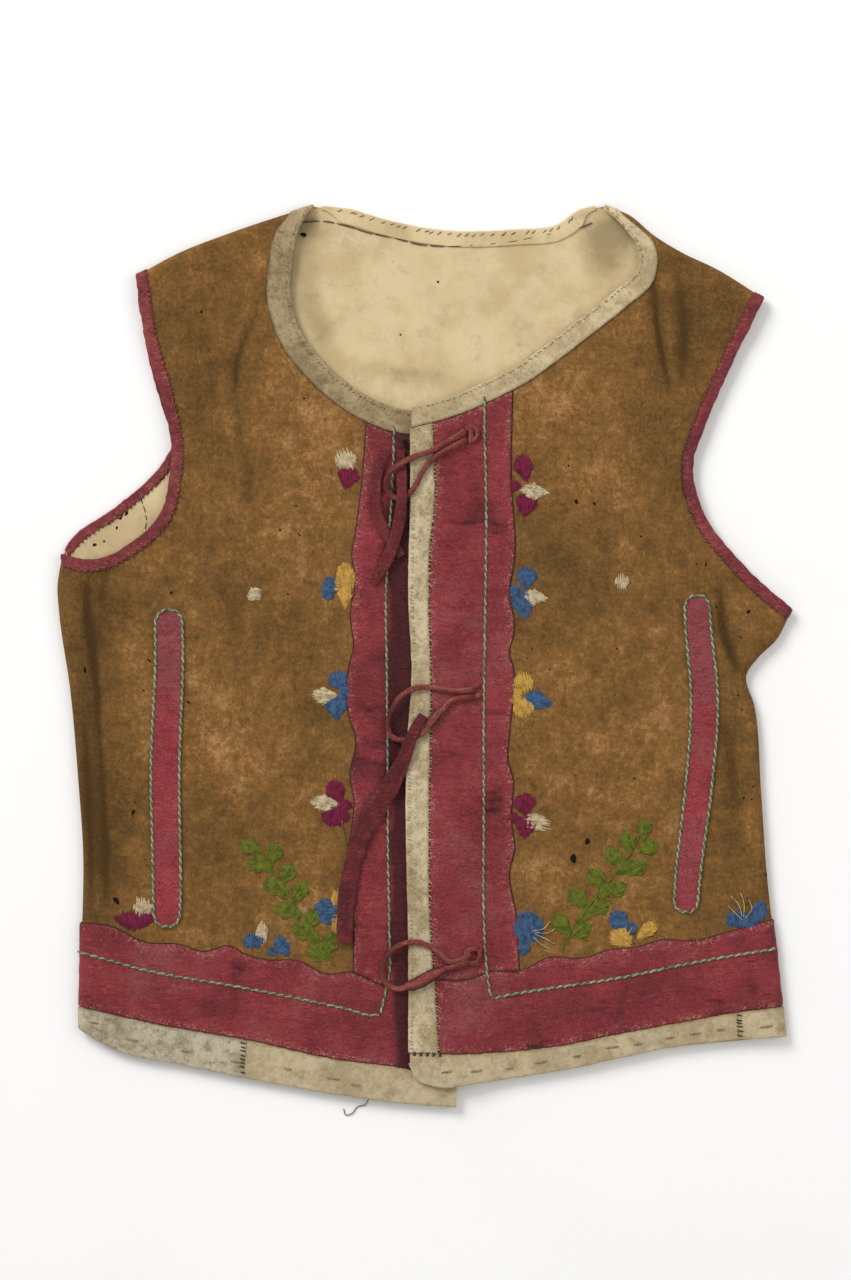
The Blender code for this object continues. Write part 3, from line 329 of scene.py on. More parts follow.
LEFT_PATCHES = rows(Blotch, [
    (80, 165, 26, 26, 30, 0.9), (118, 205, 20, 22, 0, 0.5), (160, 200, 22, 34, 0, -0.9),
    (185, 215, 18, 16, 0, -0.6), (100, 110, 30, 24, 0, 0.4), (150, 130, 22, 40, 0, -0.3),
    (125, 90, 10, 50, 0, 0.5), (80, 60, 24, 20, 0, -0.7), (70, 20, 22, 22, 0, -0.5),
    (130, 10, 34, 16, 0, 0.7), (95, -10, 22, 12, -20, 0.7), (90, -48, 30, 12, -10, 0.8),
    (140, -50, 22, 20, 0, 0.8), (150, -20, 14, 26, 0, 0.6), (90, -90, 30, 18, 0, 0.5),
    (75, -40, 14, 16, 0, -0.5), (190, 20, 14, 24, 0, -0.8), (190, -60, 16, 60, 0, -0.8),
    (100, -140, 30, 18, 0, 0.7), (150, -110, 24, 20, 0, 0.6), (185, -150, 22, 16, 0, -0.3),
    (130, -90, 20, 14, 0, 0.5), (70, -150, 12, 14, 0, 0.5), (120, -155, 18, 12, 0, 0.3),
    (210, 15, 12, 10, 0, 0.3),
])
INSIDE_PATCHES = rows(Blotch, [
    (-74, 240, 11, 34, 0, -0.6), (-60, 264, 18, 7, 0, -0.35), (-66, 203, 10, 20, 20, -0.6),
    (112, 252, 15, 18, 35, -1.0), (120, 266, 13, 9, 0, -1.2), (-76, 267, 7, 6, 0, -1.2),
    (85, 213, 22, 12, 40, -0.3), (10, 215, 10, 40, 0, -0.35), (40, 236, 22, 10, 0, -0.3),
    (-10, 176, 44, 8, -8, -0.6), (20, 240, 34, 16, 0, 0.5), (-35, 225, 18, 26, 0, 0.5),
    (40, 195, 34, 18, 30, 0.6), (-12, 195, 30, 12, 0, 0.5), (-168, 112, 14, 22, 0, 0.7),
    (-205, 72, 22, 8, 25, -0.5),
])


# The sewn cables, the dark outlines and the other lines of stitches, on the fronts.
RIGHT_CABLE = [(-20, 143), (-20.5, 120), (-22, 90), (-24, 64), (-25, 40), (-24.5, -9), (-24, -57),
               (-23.8, -123), (-23, -170), (-23, -199), (-25, -209), (-28.2, -222.6)]
RIGHT_HEM_CABLE = [(-29.4, -224.2), (-36, -224.2), (-46, -221.4), (-70, -216), (-121, -206), (-172, -197),
                   (-215.5, -185)]
LEFT_CABLE = [(36.5, 161), (36.5, 140), (37.3, 110), (37.6, 80), (36.9, 35), (35.9, -30), (35.9, -102),
              (35.9, -165), (37.3, -192), (39.1, -206.6), (40.2, -213)]
LEFT_HEM_CABLE = [(40.8, -214), (55.7, -211.1), (84.4, -206.6), (120, -201.3), (163.5, -192.3),
                  (216.5, -183)]
BACK_NECK_STITCH = [(-78, 270), (-66, 271), (-48, 267.5), (-35, 263.5), (-20, 260.5), (-5, 256.5),
                    (15, 255.2), (40, 256.5), (59, 259), (68, 261), (86, 264.5), (97, 267), (104, 270)]
INSIDE_SEAM = [(-176.5, 104), (-177.6, 97), (-175.5, 90), (-174.6, 84), (-175.4, 78)]


class Shape(Enum):
    """The outline that satin stitches fill."""

    OVAL = "oval"
    DROP = "drop"
    LEAF = "leaf"
    TUFT = "tuft"


class Petal(NamedTuple):
    """A patch of satin stitches: its middle, full sizes, turn in degrees, thread and shape."""

    x: float
    y: float
    wide: float
    high: float
    turn: float
    thread: str = "green"
    shape: Shape = Shape.LEAF


O, D, L, T = Shape.OVAL, Shape.DROP, Shape.LEAF, Shape.TUFT
RIGHT_PETALS = rows(Petal, [
    (-50.0, 121.5, 10.5, 11.0, 20, "white", T), (-48.6, 110.3, 11.5, 12.0, -10, "magenta", D),
    (-60.2, 41.6, 11.0, 8.5, 80, "blue", T), (-49.8, 48.6, 9.0, 13.5, 14, "yellow", O),
    (-50.6, 36.4, 7.6, 12.5, 0, "yellow", D), (-54.8, 43.6, 5.0, 6.0, 60, "yellow", O),
    (-54.6, -15.6, 9.0, 9.5, 40, "blue", O), (-50.0, -22.6, 7.0, 7.5, 80, "blue", O),
    (-56.0, -32.8, 12.6, 12.6, 0, "blue", D), (-63.0, -25.4, 9.0, 13.5, 84, "white", L),
    (-56.4, -84.8, 9.0, 11.5, 20, "magenta", O), (-50.6, -93.4, 5.0, 8.5, 80, "magenta", O),
    (-56.4, -100.2, 13.5, 11.0, 0, "magenta", O), (-62.4, -92.4, 8.6, 15.0, 84, "white", L),
    (-61.6, -159.6, 12.0, 14.0, 86, "blue", O), (-54.6, -153.0, 6.5, 11.0, 10, "yellow", O),
    (-54.4, -165.6, 7.0, 14.0, -6, "yellow", O), (-176.6, -157.0, 9.0, 10.0, 5, "white", T),
    (-181.6, -166.0, 22.0, 10.0, 0, "magenta", D), (-107.4, -178.0, 9.5, 9.0, 10, "blue", T),
    (-102.4, -173.4, 5.5, 11.5, 0, "white", O), (-90.4, -181.6, 12.0, 8.5, -60, "blue", D),
    (-95.6, -184.6, 4.0, 6.0, -50, "blue", T), (-109.4, -119.6, 7.5, 11.5, 70),
    (-94.6, -123.8, 8.0, 11.5, -28), (-104.0, -130.6, 8.0, 12.0, 82), (-86.8, -136.6, 8.0, 11.5, -30),
    (-93.8, -144.2, 8.5, 12.5, 76), (-78.8, -147.6, 8.0, 11.5, -30), (-86.6, -159.0, 8.5, 12.5, 80),
    (-71.4, -164.6, 8.0, 11.0, -34), (-75.8, -172.4, 9.0, 13.5, 74), (-60.2, -179.8, 8.5, 11.5, -40),
    (-66.6, -186.0, 9.0, 12.5, 70), (-99.5, -131.0, 4.5, 9.0, 35, "green", O),
    (-90.0, -147.0, 4.5, 9.0, 35, "green", O), (-82.0, -160.5, 4.5, 9.0, 35, "green", O),
    (-70.5, -175.5, 4.5, 9.0, 35, "green", O), (-107.1, 37.8, 7.5, 6.5, 50, "white", O),
])
LEFT_PETALS = rows(Petal, [
    (61.0, 116.2, 10.0, 14.5, 14, "magenta", D), (54.6, 105.6, 5.0, 8.0, 80, "magenta", O),
    (62.6, 93.6, 12.0, 12.5, -8, "magenta", D), (67.8, 101.8, 9.0, 14.0, 86, "white", L),
    (62.6, 47.6, 11.5, 11.5, -10, "blue", D), (55.4, 39.6, 5.5, 6.5, 60, "blue", O),
    (60.8, 31.2, 12.6, 14.5, 8, "blue", D), (67.6, 35.8, 8.5, 13.5, 84, "white", L),
    (60.4, -17.4, 10.0, 10.5, 10, "yellow", O), (55.2, -25.6, 7.5, 9.0, 60, "yellow", O),
    (60.8, -33.2, 10.0, 9.5, 10, "yellow", O), (70.4, -28.6, 10.5, 14.5, 72, "blue", D),
    (61.6, -93.4, 12.0, 11.5, 6, "magenta", D), (54.8, -101.6, 4.5, 7.0, 80, "magenta", O),
    (62.0, -107.4, 11.5, 12.0, -6, "magenta", D), (68.6, -104.2, 8.0, 15.5, 84, "white", T),
    (63.4, -170.0, 15.5, 16.5, 10, "blue", O), (61.0, -183.0, 6.0, 7.0, 10, "blue", O),
    (121.4, -166.0, 10.5, 12.5, 60, "blue", D), (127.6, -171.6, 4.5, 8.5, -30, "blue", O),
    (122.6, -176.0, 14.0, 11.5, 40, "yellow", D), (137.6, -172.0, 7.5, 13.0, -50, "yellow", D),
    (194.4, -164.6, 11.5, 8.5, 0, "blue", O), (201.8, -166.0, 9.0, 8.5, 10, "blue", O),
    (207.4, -159.8, 7.5, 11.0, -20, "blue", O), (135.8, -108.8, 6.5, 11.0, 0),
    (138.6, -120.2, 7.5, 11.0, -70), (125.8, -116.4, 7.5, 12.0, 20), (130.6, -133.0, 8.0, 12.0, -64),
    (117.4, -126.0, 8.0, 12.0, 40), (118.4, -146.4, 8.0, 11.5, -64), (106.6, -139.4, 8.5, 12.5, 44),
    (107.8, -157.4, 8.0, 12.0, -64), (95.0, -152.0, 8.5, 12.5, 40), (96.4, -171.8, 8.0, 11.5, -60),
    (84.8, -168.4, 8.0, 12.0, 36), (122.6, -132.4, 4.5, 9.0, -35, "green", O),
    (111.6, -147.4, 4.5, 9.5, -35, "green", O), (100.2, -161.0, 4.5, 9.5, -35, "green", O),
    (122.2, 45.6, 6.5, 7.0, 0, "white", O),
])
RIGHT_STEMS = [((-113, -120), (-98, -132), (-84, -152), (-70, -172), (-57, -194)),
               ((-100, -124), (-97, -130)), ((-52.5, -103), (-50, -116), (-47, -124))]
LEFT_STEMS = [((136, -106), (128, -122), (110, -146), (94, -166), (84, -184)),
              ((96, -172), (104, -184), (110, -191)), ((129, -178), (130.5, -184))]
LOOSE_THREADS = [
    ((68, -174), (75, -177), (80, -180)), ((68, -173), (76, -173), (80, -171)),
    ((67, -176), (73, -181), (77, -183)), ((66, -172), (74, -170), (77, -166)),
    ((197, -163), (195, -156), (190, -150)), ((198, -163), (198, -154), (196, -148)),
    ((199, -164), (203, -158), (201, -152)), ((197, -165), (192, -160), (188, -156)),
]


class Pit(NamedTuple):
    """A dark hole or dot: its middle, full sizes and turn in degrees."""

    x: float
    y: float
    wide: float
    high: float
    turn: float = 0.0


RIGHT_PITS = rows(Pit, [
    (-158.8, 38.8, 1.6, 1.6), (-212.5, -9.4, 1.3, 3.4, 10), (-148.1, -29.4, 1.4, 1.6),
    (-193.1, -153.1, 2.6, 4.2, 20), (-172.5, -3.5, 1.0, 2.0, 50), (-79, 75, 1.0, 1.6, 40),
    (-86, 38, 1.0, 1.0), (-76, 160, 1.1, 1.1), (-81, 93, 0.9, 0.9), (-91, 78, 0.9, 1.2),
    (-176, -22, 1.1, 1.1), (-140, 214, 1.4, 1.4), (-111, 53, 0.8, 0.8), (-182.6, -98, 1.6, 3.0, -10),
    (-181, -92, 0.9, 0.9),
])
LEFT_PITS = rows(Pit, [
    (91.9, -126.9, 3.4, 4.4, 30), (100.6, -116.2, 2.4, 3.6), (93.8, 95.6, 1.6, 3.0),
    (105.0, 94.4, 1.4, 1.8), (88.8, 118.1, 1.0, 1.0), (174.4, 56.5, 1.0, 1.6), (168.6, 56.8, 0.9, 1.3),
    (201, 27, 1.8, 2.2), (189, 4, 1.6, 3.0, 20), (194.5, -25, 1.0, 1.0), (197, -34, 0.9, 0.9),
    (212, -137, 1.2, 1.6), (204, -82, 1.0, 1.0), (198, -89, 1.0, 1.4), (203, -90, 0.9, 0.9),
    (134, 74, 0.9, 1.2), (66, 4, 0.9, 0.9), (63, -2, 0.8, 0.8), (77, -9, 0.9, 0.9), (119, 4, 1.0, 1.0),
    (130, -77, 1.4, 0.9), (176, 8, 1.3, 2.0), (181, 30, 1.0, 1.3), (196, 11, 1.2, 0.8),
])
INSIDE_PITS = rows(Pit, [
    (-164.4, 110.4, 1.4, 2.6, -40), (-168.4, 106.4, 1.3, 2.4, -40), (-173.4, 101.4, 1.1, 1.8, -40),
    (-187.0, 88.4, 1.5, 2.4, -40), (-190.6, 85.6, 1.3, 2.0, -40), (-197.4, 82.4, 1.2, 1.6),
    (-193.1, 79.4, 1.2, 1.6), (-207.0, 68.8, 1.8, 1.8), (-201, 71, 1.0, 1.2), (-76.5, 262.5, 3.0, 2.4),
    (7.5, 233, 1.4, 1.2), (-16, 200, 1.0, 1.0),
])
# A slit in the right band, drawn as a dark hole whose darkness is painted shade.
LAP_SLIT = Pit(-12.5, 131, 2.6, 6.0, 30)
HEM_THREAD = [(-35.6, -274.5, 4.2), (-36.4, -278.4, 2.4), (-38.2, -281.2, 0.7), (-42.5, -282.2, 0.4),
              (-46.4, -286.6, 0.35), (-50.2, -287.4, 0.35), (-51.4, -283.6, 0.35)]
HEM_DASHES_RIGHT = [(-207, -229), (-183, -240), (-150, -247), (-118, -253.5), (-86, -258), (-58, -264),
                    (-44, -268)]
HEM_DASHES_LEFT = [(13, -259.5), (31, -259), (52, -257.5), (72, -253.5), (94, -250), (116, -244.5),
                   (132, -242.5), (152, -238.5), (168, -236), (184, -233.5), (212, -231.5)]


class Whip(NamedTuple):
    """Slanted stitches over a line.

    Their spacing, their reach to the line's left and right, the slant along it, the thread and half its
    thickness, how high they stand, and the share of the spacing and reach that is left to chance.
    """

    pitch: float
    inside: float
    outside: float
    slant: float
    thread: str
    radius: float
    lift: float
    uneven: float


ARMHOLE_WHIP = Whip(ARMHOLE_STITCH, 1.0, 1.0, 1.0, "brown", 0.22, 0.24, 0.6)
NECK_WHIP = Whip(2.7, 0.6, 1.3, 1.2, "tan", 0.24, 0.22, 1.0)
NECK_FLECK = Whip(4.3, 0.4, 1.4, 1.6, "cream", 0.24, 0.35, 0.9)
BACK_NECK_WHIP = Whip(5.2, 0.9, 1.1, 3.0, "tan", 0.3, 0.3, 1.0)
EDGE_INNER_WHIP = Whip(2.3, 0.9, 1.1, 0.7, "cream", 0.3, 0.25, 0.9)
EDGE_OUTER_WHIP = Whip(2.4, 1.5, 0.7, 0.6, "cream", 0.32, 0.3, 0.6)
CROSS_WHIP = Whip(3.4, 1.5, 1.5, 2.0, "dark", 0.36, 0.5, 0.0)
JOIN_WHIP = Whip(2.4, 1.9, 1.9, 0.8, "dark", 0.42, 0.45, 0.5)
RIGHT_BAND_WHIP = Whip(1.7, 0.6, 0.5, 0.4, "pink", 0.22, 0.25, 0.5)
LEFT_BAND_WHIP = Whip(2.1, 0.5, 0.5, 0.4, "dark", 0.2, 0.2, 0.6)
CROSS_ROW = [(-9.2, -248.2), (10.8, -248.8)]


def unit(vectors: Array) -> Array:
    """Each vector divided by its length."""
    return vectors / np.maximum(np.linalg.norm(vectors, axis=-1, keepdims=True), 1e-9)


def smooth_step(x: Array) -> Array:
    """0 below 0, 1 above 1, and 3x^2 - 2x^3 between."""
    t = np.clip(x, 0, 1)
    return t * t * (3 - 2 * t)


def lattice_noise(plan: Array, wide: float, high: float, seed: int) -> Array:
    """Soft uneven values between -1 and 1 over a plan.

    A lattice of seeded random numbers, wide by high millimetres a cell, is blended with smooth steps
    between its four nearest corners; half as much of the same at half the cell is added.

    Args:
        plan: Plan points, the last axis x and y.
        wide: The size of a cell along x.
        high: The size of a cell along y.
        seed: Chooses the random numbers.

    Returns:
        One value for each plan point.
    """
    total = np.zeros(plan.shape[:-1])
    corners = np.random.default_rng(seed).uniform(-1, 1, (128, 128))
    for octave, share in enumerate((0.7, 0.3)):
        x = plan[..., 0] / wide * 2**octave + 31.7 + 7.3 * octave
        y = plan[..., 1] / high * 2**octave + 57.1 + 3.9 * octave
        column, row = np.floor(x).astype(int), np.floor(y).astype(int)
        right, up = smooth_step(x - column), smooth_step(y - row)
        at = [[corners[(row + j) % 128, (column + i) % 128] for i in (0, 1)] for j in (0, 1)]
        low = at[0][0] * (1 - right) + at[0][1] * right
        high_side = at[1][0] * (1 - right) + at[1][1] * right
        total += share * (low * (1 - up) + high_side * up)
    return total


def patch_values(plan: Array, patches: Sequence[Blotch]) -> Array:
    """The sum of soft oval patches: strength times exp(-(distance in half sizes)^2) for each."""
    total = np.zeros(plan.shape[:-1])
    for patch in patches:
        turn = math.radians(patch.turn)
        dx, dy = plan[..., 0] - patch.x, plan[..., 1] - patch.y
        across = (dx * math.cos(turn) + dy * math.sin(turn)) / patch.wide
        along = (dy * math.cos(turn) - dx * math.sin(turn)) / patch.high
        total += patch.strength * np.exp(-(across**2 + along**2))
    return total


def bent_relief(plan: Array, creases: Sequence[Crease]) -> Array:
    """The heights of bent creases.

    For each, the rise times exp(-(distance to its line / width)^1.6), faded by 1 - (2t - 1)^4 over the
    share t of its length.
    """
    total = np.zeros(plan.shape[:-1])
    for crease in creases:
        line = Line(crease.way, steps=6).points
        start, span = line[:-1], np.diff(line, axis=0)
        share = ((plan[..., None, :] - start) * span).sum(-1) / np.maximum((span**2).sum(-1), 1e-9)
        share = np.clip(share, 0, 1)
        away = np.linalg.norm(plan[..., None, :] - start - share[..., None] * span, axis=-1)
        best = away.argmin(axis=-1)[..., None]
        t = (best[..., 0] + np.take_along_axis(share, best, -1)[..., 0]) / len(span)
        near = np.take_along_axis(away, best, -1)[..., 0]
        total += crease.rise * np.exp(-((near / crease.width) ** 1.6)) * (1 - (2 * t - 1) ** 4)
    return total


class Line:
    """A smooth line through a few points, read by its share of length from 0 to 1."""

    def __init__(self, points: Sequence[Sequence[float]], steps: int = 40) -> None:
        """Joins the points by cubic pieces whose slopes at each point are those of its neighbours.

        Args:
            points: The places that the line passes, in the plan or in space.
            steps: The points that each piece is measured at.
        """
        knots = np.asarray(points, float)
        spans = np.linalg.norm(np.diff(knots, axis=0), axis=1)
        slopes = np.gradient(knots, np.concatenate([[0.0], np.cumsum(spans)]), axis=0)
        t = np.linspace(0, 1, steps + 1)[None, 1:, None]
        span = spans[:, None, None]
        start, end = knots[:-1, None], knots[1:, None]
        pieces = (
            (2 * t**3 - 3 * t**2 + 1) * start
            + (t**3 - 2 * t**2 + t) * span * slopes[:-1, None]
            + (3 * t**2 - 2 * t**3) * end
            + (t**3 - t**2) * span * slopes[1:, None]
        )
        self._take(np.concatenate([knots[:1], pieces.reshape(-1, knots.shape[1])]))

    def _take(self, points: Array) -> None:
        """Keeps close points and the length up to each."""
        self.points = points
        steps = np.linalg.norm(np.diff(points, axis=0), axis=1)
        self.place = np.concatenate([[0.0], np.cumsum(steps)])
        self.length = float(self.place[-1])

    @classmethod
    def through(cls, points: Array) -> "Line":
        """The straight-sided line of points that already lie close together."""
        line = cls.__new__(cls)
        line._take(np.asarray(points, float))
        return line

    def at(self, shares: Union[Array, float]) -> Array:
        """The points at shares of the length."""
        where = np.clip(shares, 0, 1) * self.length
        return np.stack([np.interp(where, self.place, column) for column in self.points.T], axis=-1)

    def share_where(self, axis: int, value: float) -> float:
        """The share of length at the first place where a coordinate passes a value."""
        beyond = self.points[:, axis] - value
        before = np.flatnonzero(beyond[:-1] * beyond[1:] <= 0)[0]
        share = beyond[before] / (beyond[before] - beyond[before + 1])
        place = self.place[before] + share * (self.place[before + 1] - self.place[before])
        return float(place / self.length)

    def ways(self, shares: Array, near: float = 0.003) -> tuple[Array, Array]:
        """The ways along a plan line and to its left, from places a small share before and after."""
        along = unit(self.at(shares + near) - self.at(shares - near))
        return along, np.stack([-along[:, 1], along[:, 0]], axis=-1)

    def part(self, start: float, end: float) -> "Line":
        """The stretch between two shares."""
        return Line.through(self.at(np.linspace(start, end, 160)))

    def reversed(self) -> "Line":
        """The same line from its other end."""
        return Line.through(self.points[::-1])

    def moved(self, x: float, y: float) -> "Line":
        """The same line moved in the plan."""
        return Line.through(self.points + np.array([x, y]))


@dataclass
class Cornered:
    """Lines end to end, with the corners between them at stated shares."""

    lines: Sequence[Line]
    corners: Sequence[float]

    def at(self, shares: Union[Array, float]) -> Array:
        """The points at shares, each line taking the shares between its corners."""
        marks = [0.0, *self.corners, 1.0]
        shares = np.asarray(shares, float)
        found = self.lines[0].at(shares / marks[1])
        for line, start, end in zip(self.lines[1:], marks[1:], marks[2:]):
            found = np.where((shares < start)[..., None], found, line.at((shares - start) / (end - start)))
        return found


@dataclass
class Patch:
    """The plan area between four lines: u runs from inner to outer, v from bottom to top."""

    bottom: Line
    top: Union[Line, Cornered]
    inner: Cornered
    outer: Cornered

    def plan(self, u: Array, v: Array) -> Array:
        """A grid of plan points, by blending the four lines and taking away their corners' share."""
        u, v = np.meshgrid(u, v, indexing="ij")
        c, r = u[..., None], v[..., None]
        low = [self.bottom.at(k) for k in (0.0, 1.0)]
        high = [self.top.at(k) for k in (0.0, 1.0)]
        return (
            (1 - c) * self.inner.at(v) + c * self.outer.at(v)
            + (1 - r) * self.bottom.at(u) + r * self.top.at(u)
            - (1 - c) * (1 - r) * low[0] - c * (1 - r) * low[1]
            - (1 - c) * r * high[0] - c * r * high[1]
        )


class Outline:
    """Lines where the leather folds round."""

    CHUNK = 3000

    def __init__(self, lines: Sequence[Line], inside: Spot) -> None:
        """Measures the lines and their ways out.

        Args:
            lines: The folded edges.
            inside: A place on the leather's side of them.
        """
        starts, ends, ways_a, ways_b = [], [], [], []
        for line in lines:
            points = line.at(np.linspace(0, 1, 120))
            along = unit(np.gradient(points, axis=0))
            out = np.stack([along[:, 1], -along[:, 0]], axis=-1)
            middle = len(points) // 2
            if np.dot(out[middle], np.asarray(inside) - points[middle]) > 0:
                out = -out
            starts.append(points[:-1])
            ends.append(points[1:])
            ways_a.append(out[:-1])
            ways_b.append(out[1:])
        self.start, self.end = np.concatenate(starts), np.concatenate(ends)
        self.way_a, self.way_b = np.concatenate(ways_a), np.concatenate(ways_b)

    def inside(self, plan: Array) -> tuple[Array, Array]:
        """How far plan points lie inside the nearest line, and the way out there."""
        flat = plan.reshape(-1, 2)
        found = [self._some(flat[k:k + self.CHUNK]) for k in range(0, len(flat), self.CHUNK)]
        depth = np.concatenate([part[0] for part in found])
        out = np.concatenate([part[1] for part in found])
        return depth.reshape(plan.shape[:-1]), out.reshape(plan.shape)

    def _some(self, flat: Array) -> tuple[Array, Array]:
        """The same for a few points at once: the foot of each on every segment, and the nearest foot."""
        span = self.end - self.start
        size = np.maximum((span**2).sum(1), 1e-12)
        away = flat[:, None] - self.start
        t = np.clip((away[..., 0] * span[:, 0] + away[..., 1] * span[:, 1]) / size, 0, 1)
        away -= t[..., None] * span
        far = np.hypot(away[..., 0], away[..., 1])
        best = far.argmin(axis=1)
        rows = np.arange(len(flat))
        share = t[rows, best][:, None]
        out = unit(self.way_a[best] * (1 - share) + self.way_b[best] * share)
        beyond = (away[rows, best] * out).sum(1) > 1e-6
        return np.where(beyond, 0.0, far[rows, best]), out


class Surface(Protocol):
    """Anything that gives its points and outward normals over a plan."""

    def face(self, plan: Array) -> tuple[Array, Array]:
        """The points over a plan, and the normals there."""


def folded(depth: Array, out: Array, rise: Union[Array, float], level: Array) -> tuple[Array, Array]:
    """The quarter round by which a face turns towards the seam at its folded edge.

    Args:
        depth: How far points lie inside the edge.
        out: The way out to it.
        rise: How high the face stands over the seam.
        level: The face's normals away from the edge.

    Returns:
        The share of the rise that the points have, and their normals.
    """
    across = np.clip(1 - depth / FOLD_REACH, 0, 1)
    up = np.sqrt(1 - across**2)
    side = np.concatenate([out, np.zeros_like(depth)[..., None]], axis=-1)
    return up, unit((rise * across)[..., None] * side + (FOLD_REACH * up)[..., None] * level)


@dataclass
class FrontFace:
    """The upper face of a front panel, with its folds, creases and ripples."""

    outline: Outline
    folds: Sequence[Fold]
    creases: Sequence[Crease]
    lap: Callable[[Array], Array]
    seed: int
    step: float = 0.6
    ripple: float = 0.16

    def hollows(self, plan: Array) -> Array:
        """How deep the finer creases are, for the painted shade in them."""
        return bent_relief(plan, self.creases)

    def relief(self, plan: Array) -> Array:
        """Folds, creases and a soft ripple, and the climb or dip at the lap."""
        total = bent_relief(plan, self.creases)
        for fold in self.folds:
            start = np.array([fold.x0, fold.y0])
            span = np.array([fold.x1, fold.y1]) - start
            t = np.clip(((plan - start) @ span) / (span @ span), 0, 1)
            away = np.linalg.norm(plan - start - t[..., None] * span, axis=-1)
            total = total + fold.rise * np.exp(-((away / fold.width) ** 2))
        total = total + self.ripple * lattice_noise(plan, 16, 22, self.seed)
        return total + 0.5 * self.ripple * lattice_noise(plan, 6, 8, self.seed + 1)

    def face(self, plan: Array) -> tuple[Array, Array]:
        """The points of the face and its normals.

        The height is the low level, plus a rise near the folded edge, plus the relief faded in from that
        edge, plus the lap. Over the last millimetres it turns down in a quarter round to the seam.
        """
        depth, out = self.outline.inside(plan)
        near = FOLD_RISE * np.exp(-((depth / FOLD_RISE_REACH) ** 2))
        share = np.clip((depth - 0.3 * FOLD_REACH) / FOLD_REACH, 0, 1)
        calm = smooth_step(share)
        relief = self.relief(plan)
        height = FRONT_TOP + near + calm * relief + self.lap(plan)
        by_depth = near * -2 * depth / FOLD_RISE_REACH**2 + 6 * share * (1 - share) / FOLD_REACH * relief
        slopes = []
        for axis, step in enumerate((np.array([self.step, 0]), np.array([0, self.step]))):
            steep = (self.relief(plan + step) - self.relief(plan - step)) * calm
            steep = (steep + self.lap(plan + step) - self.lap(plan - step)) / (2 * self.step)
            slopes.append(steep - out[..., axis] * by_depth)
        rise = height - SEAM_HEIGHT - SEAM_GAP / 2
        top = np.stack([-slopes[0], -slopes[1], np.ones_like(height)], axis=-1)
        up, normal = folded(depth, out, rise, top)
        z = SEAM_HEIGHT + SEAM_GAP / 2 + rise * up
        return np.concatenate([plan, z[..., None]], axis=-1), normal


@dataclass
class BackFace:
    """The back panel, its outer side flat on the ground and its inner side above it."""

    outline: Outline

    def underside(self, plan: Array) -> tuple[Array, Array]:
        """The outer side: flat, and turned up in a quarter round to the seams."""
        depth, out = self.outline.inside(plan)
        rise = SEAM_HEIGHT - SEAM_GAP / 2
        up, normal = folded(depth, out, rise, np.array([0.0, 0.0, -1.0]))
        return np.concatenate([plan, (rise * (1 - up))[..., None]], axis=-1), normal

    def face(self, plan: Array) -> tuple[Array, Array]:
        """The inner side, a wall's thickness above the outer one, with a soft unevenness."""
        points, normal = self.underside(plan)
        uneven = 0.18 * lattice_noise(plan, 24, 30, 41) + 0.1 * lattice_noise(plan, 8, 10, 42)
        return points - (WALL + uneven)[..., None] * normal, -normal


@dataclass
class Layer:
    """The upper face of a thinner leather that lies on another surface, with wrinkles of its own."""

    under: Surface
    thickness: float
    wrinkles: Any

    def face(self, plan: Array) -> tuple[Array, Array]:
        """The points and normals of the surface below, moved out by the thickness and the wrinkles."""
        points, normal = self.under.face(plan)
        return points + (SEAT + self.thickness + self.wrinkles(plan))[..., None] * normal, normal


@dataclass(frozen=True)
class Wrinkles:
    """The wrinkles of a band: small cross ripples, soft lumps and listed creases."""

    creases: Sequence[Crease]
    wide: float
    high: float
    depth: float
    seed: int
    crease_share: float = 1.5

    def hollows(self, plan: Array) -> Array:
        """The creases alone, for the painted shade in them."""
        return bent_relief(plan, self.creases)

    def __call__(self, plan: Array) -> Array:
        """The heights over a plan."""
        ripple = self.depth * lattice_noise(plan, self.wide, self.high, self.seed)
        lumps = 0.8 * self.depth * lattice_noise(plan, 13, 13, self.seed + 5)
        return np.clip(ripple + lumps + self.crease_share * bent_relief(plan, self.creases), -0.62, 0.9)


def strewn(seed: int, low: Spot, high: Spot, count: int) -> list[Crease]:
    """Short, nearly level creases strewn over a box of the plan.

    Args:
        seed: Chooses their places.
        low: The box's lower left corner.
        high: Its upper right corner.
        count: How many there are.

    Returns:
        The creases, each through three places.
    """
    chance = np.random.default_rng(seed)
    middle = chance.uniform(low, high, (count, 2))
    half = chance.uniform(3.0, 11.0, count)
    slope = chance.uniform(-0.22, 0.22, count)
    sag = chance.uniform(-1.2, 1.2, count)
    rise, width = chance.uniform(-0.42, -0.15, count), chance.uniform(0.8, 1.5, count)
    made = []
    for (x, y), h, s, d, r, w in zip(middle, half, slope, sag, rise, width):
        made.append(Crease(((x - h, y - s * h), (x, y + d), (x + h, y + s * h)), r, w))
    return made


def fold_shares(length: float, steps: int = 9) -> Array:
    """Shares near 1 that follow the rounding of a fold at the end of a line."""
    angles = np.linspace(math.pi / 2, 0, steps + 1)
    return 1 - FOLD_REACH * (1 - np.cos(angles)) / length


def graded(length: float, step: float, start_fold: bool = False, end_fold: bool = False) -> Array:
    """Shares about a step apart, closer over a fold at either end.

    Args:
        length: The length that the shares are of.
        step: The distance between shares.
        start_fold: Whether the line starts on a fold.
        end_fold: Whether it ends on one.

    Returns:
        The shares from 0 to 1.
    """
    turn = fold_shares(length)
    low = 1 - turn[0] if start_fold else 0.0
    high = turn[0] if end_fold else 1.0
    parts = [np.linspace(low, high, max(2, int((high - low) * length / step) + 1))]
    if start_fold:
        parts.insert(0, (1 - turn)[:0:-1])
    if end_fold:
        parts.append(turn[1:])
    return np.concatenate(parts)


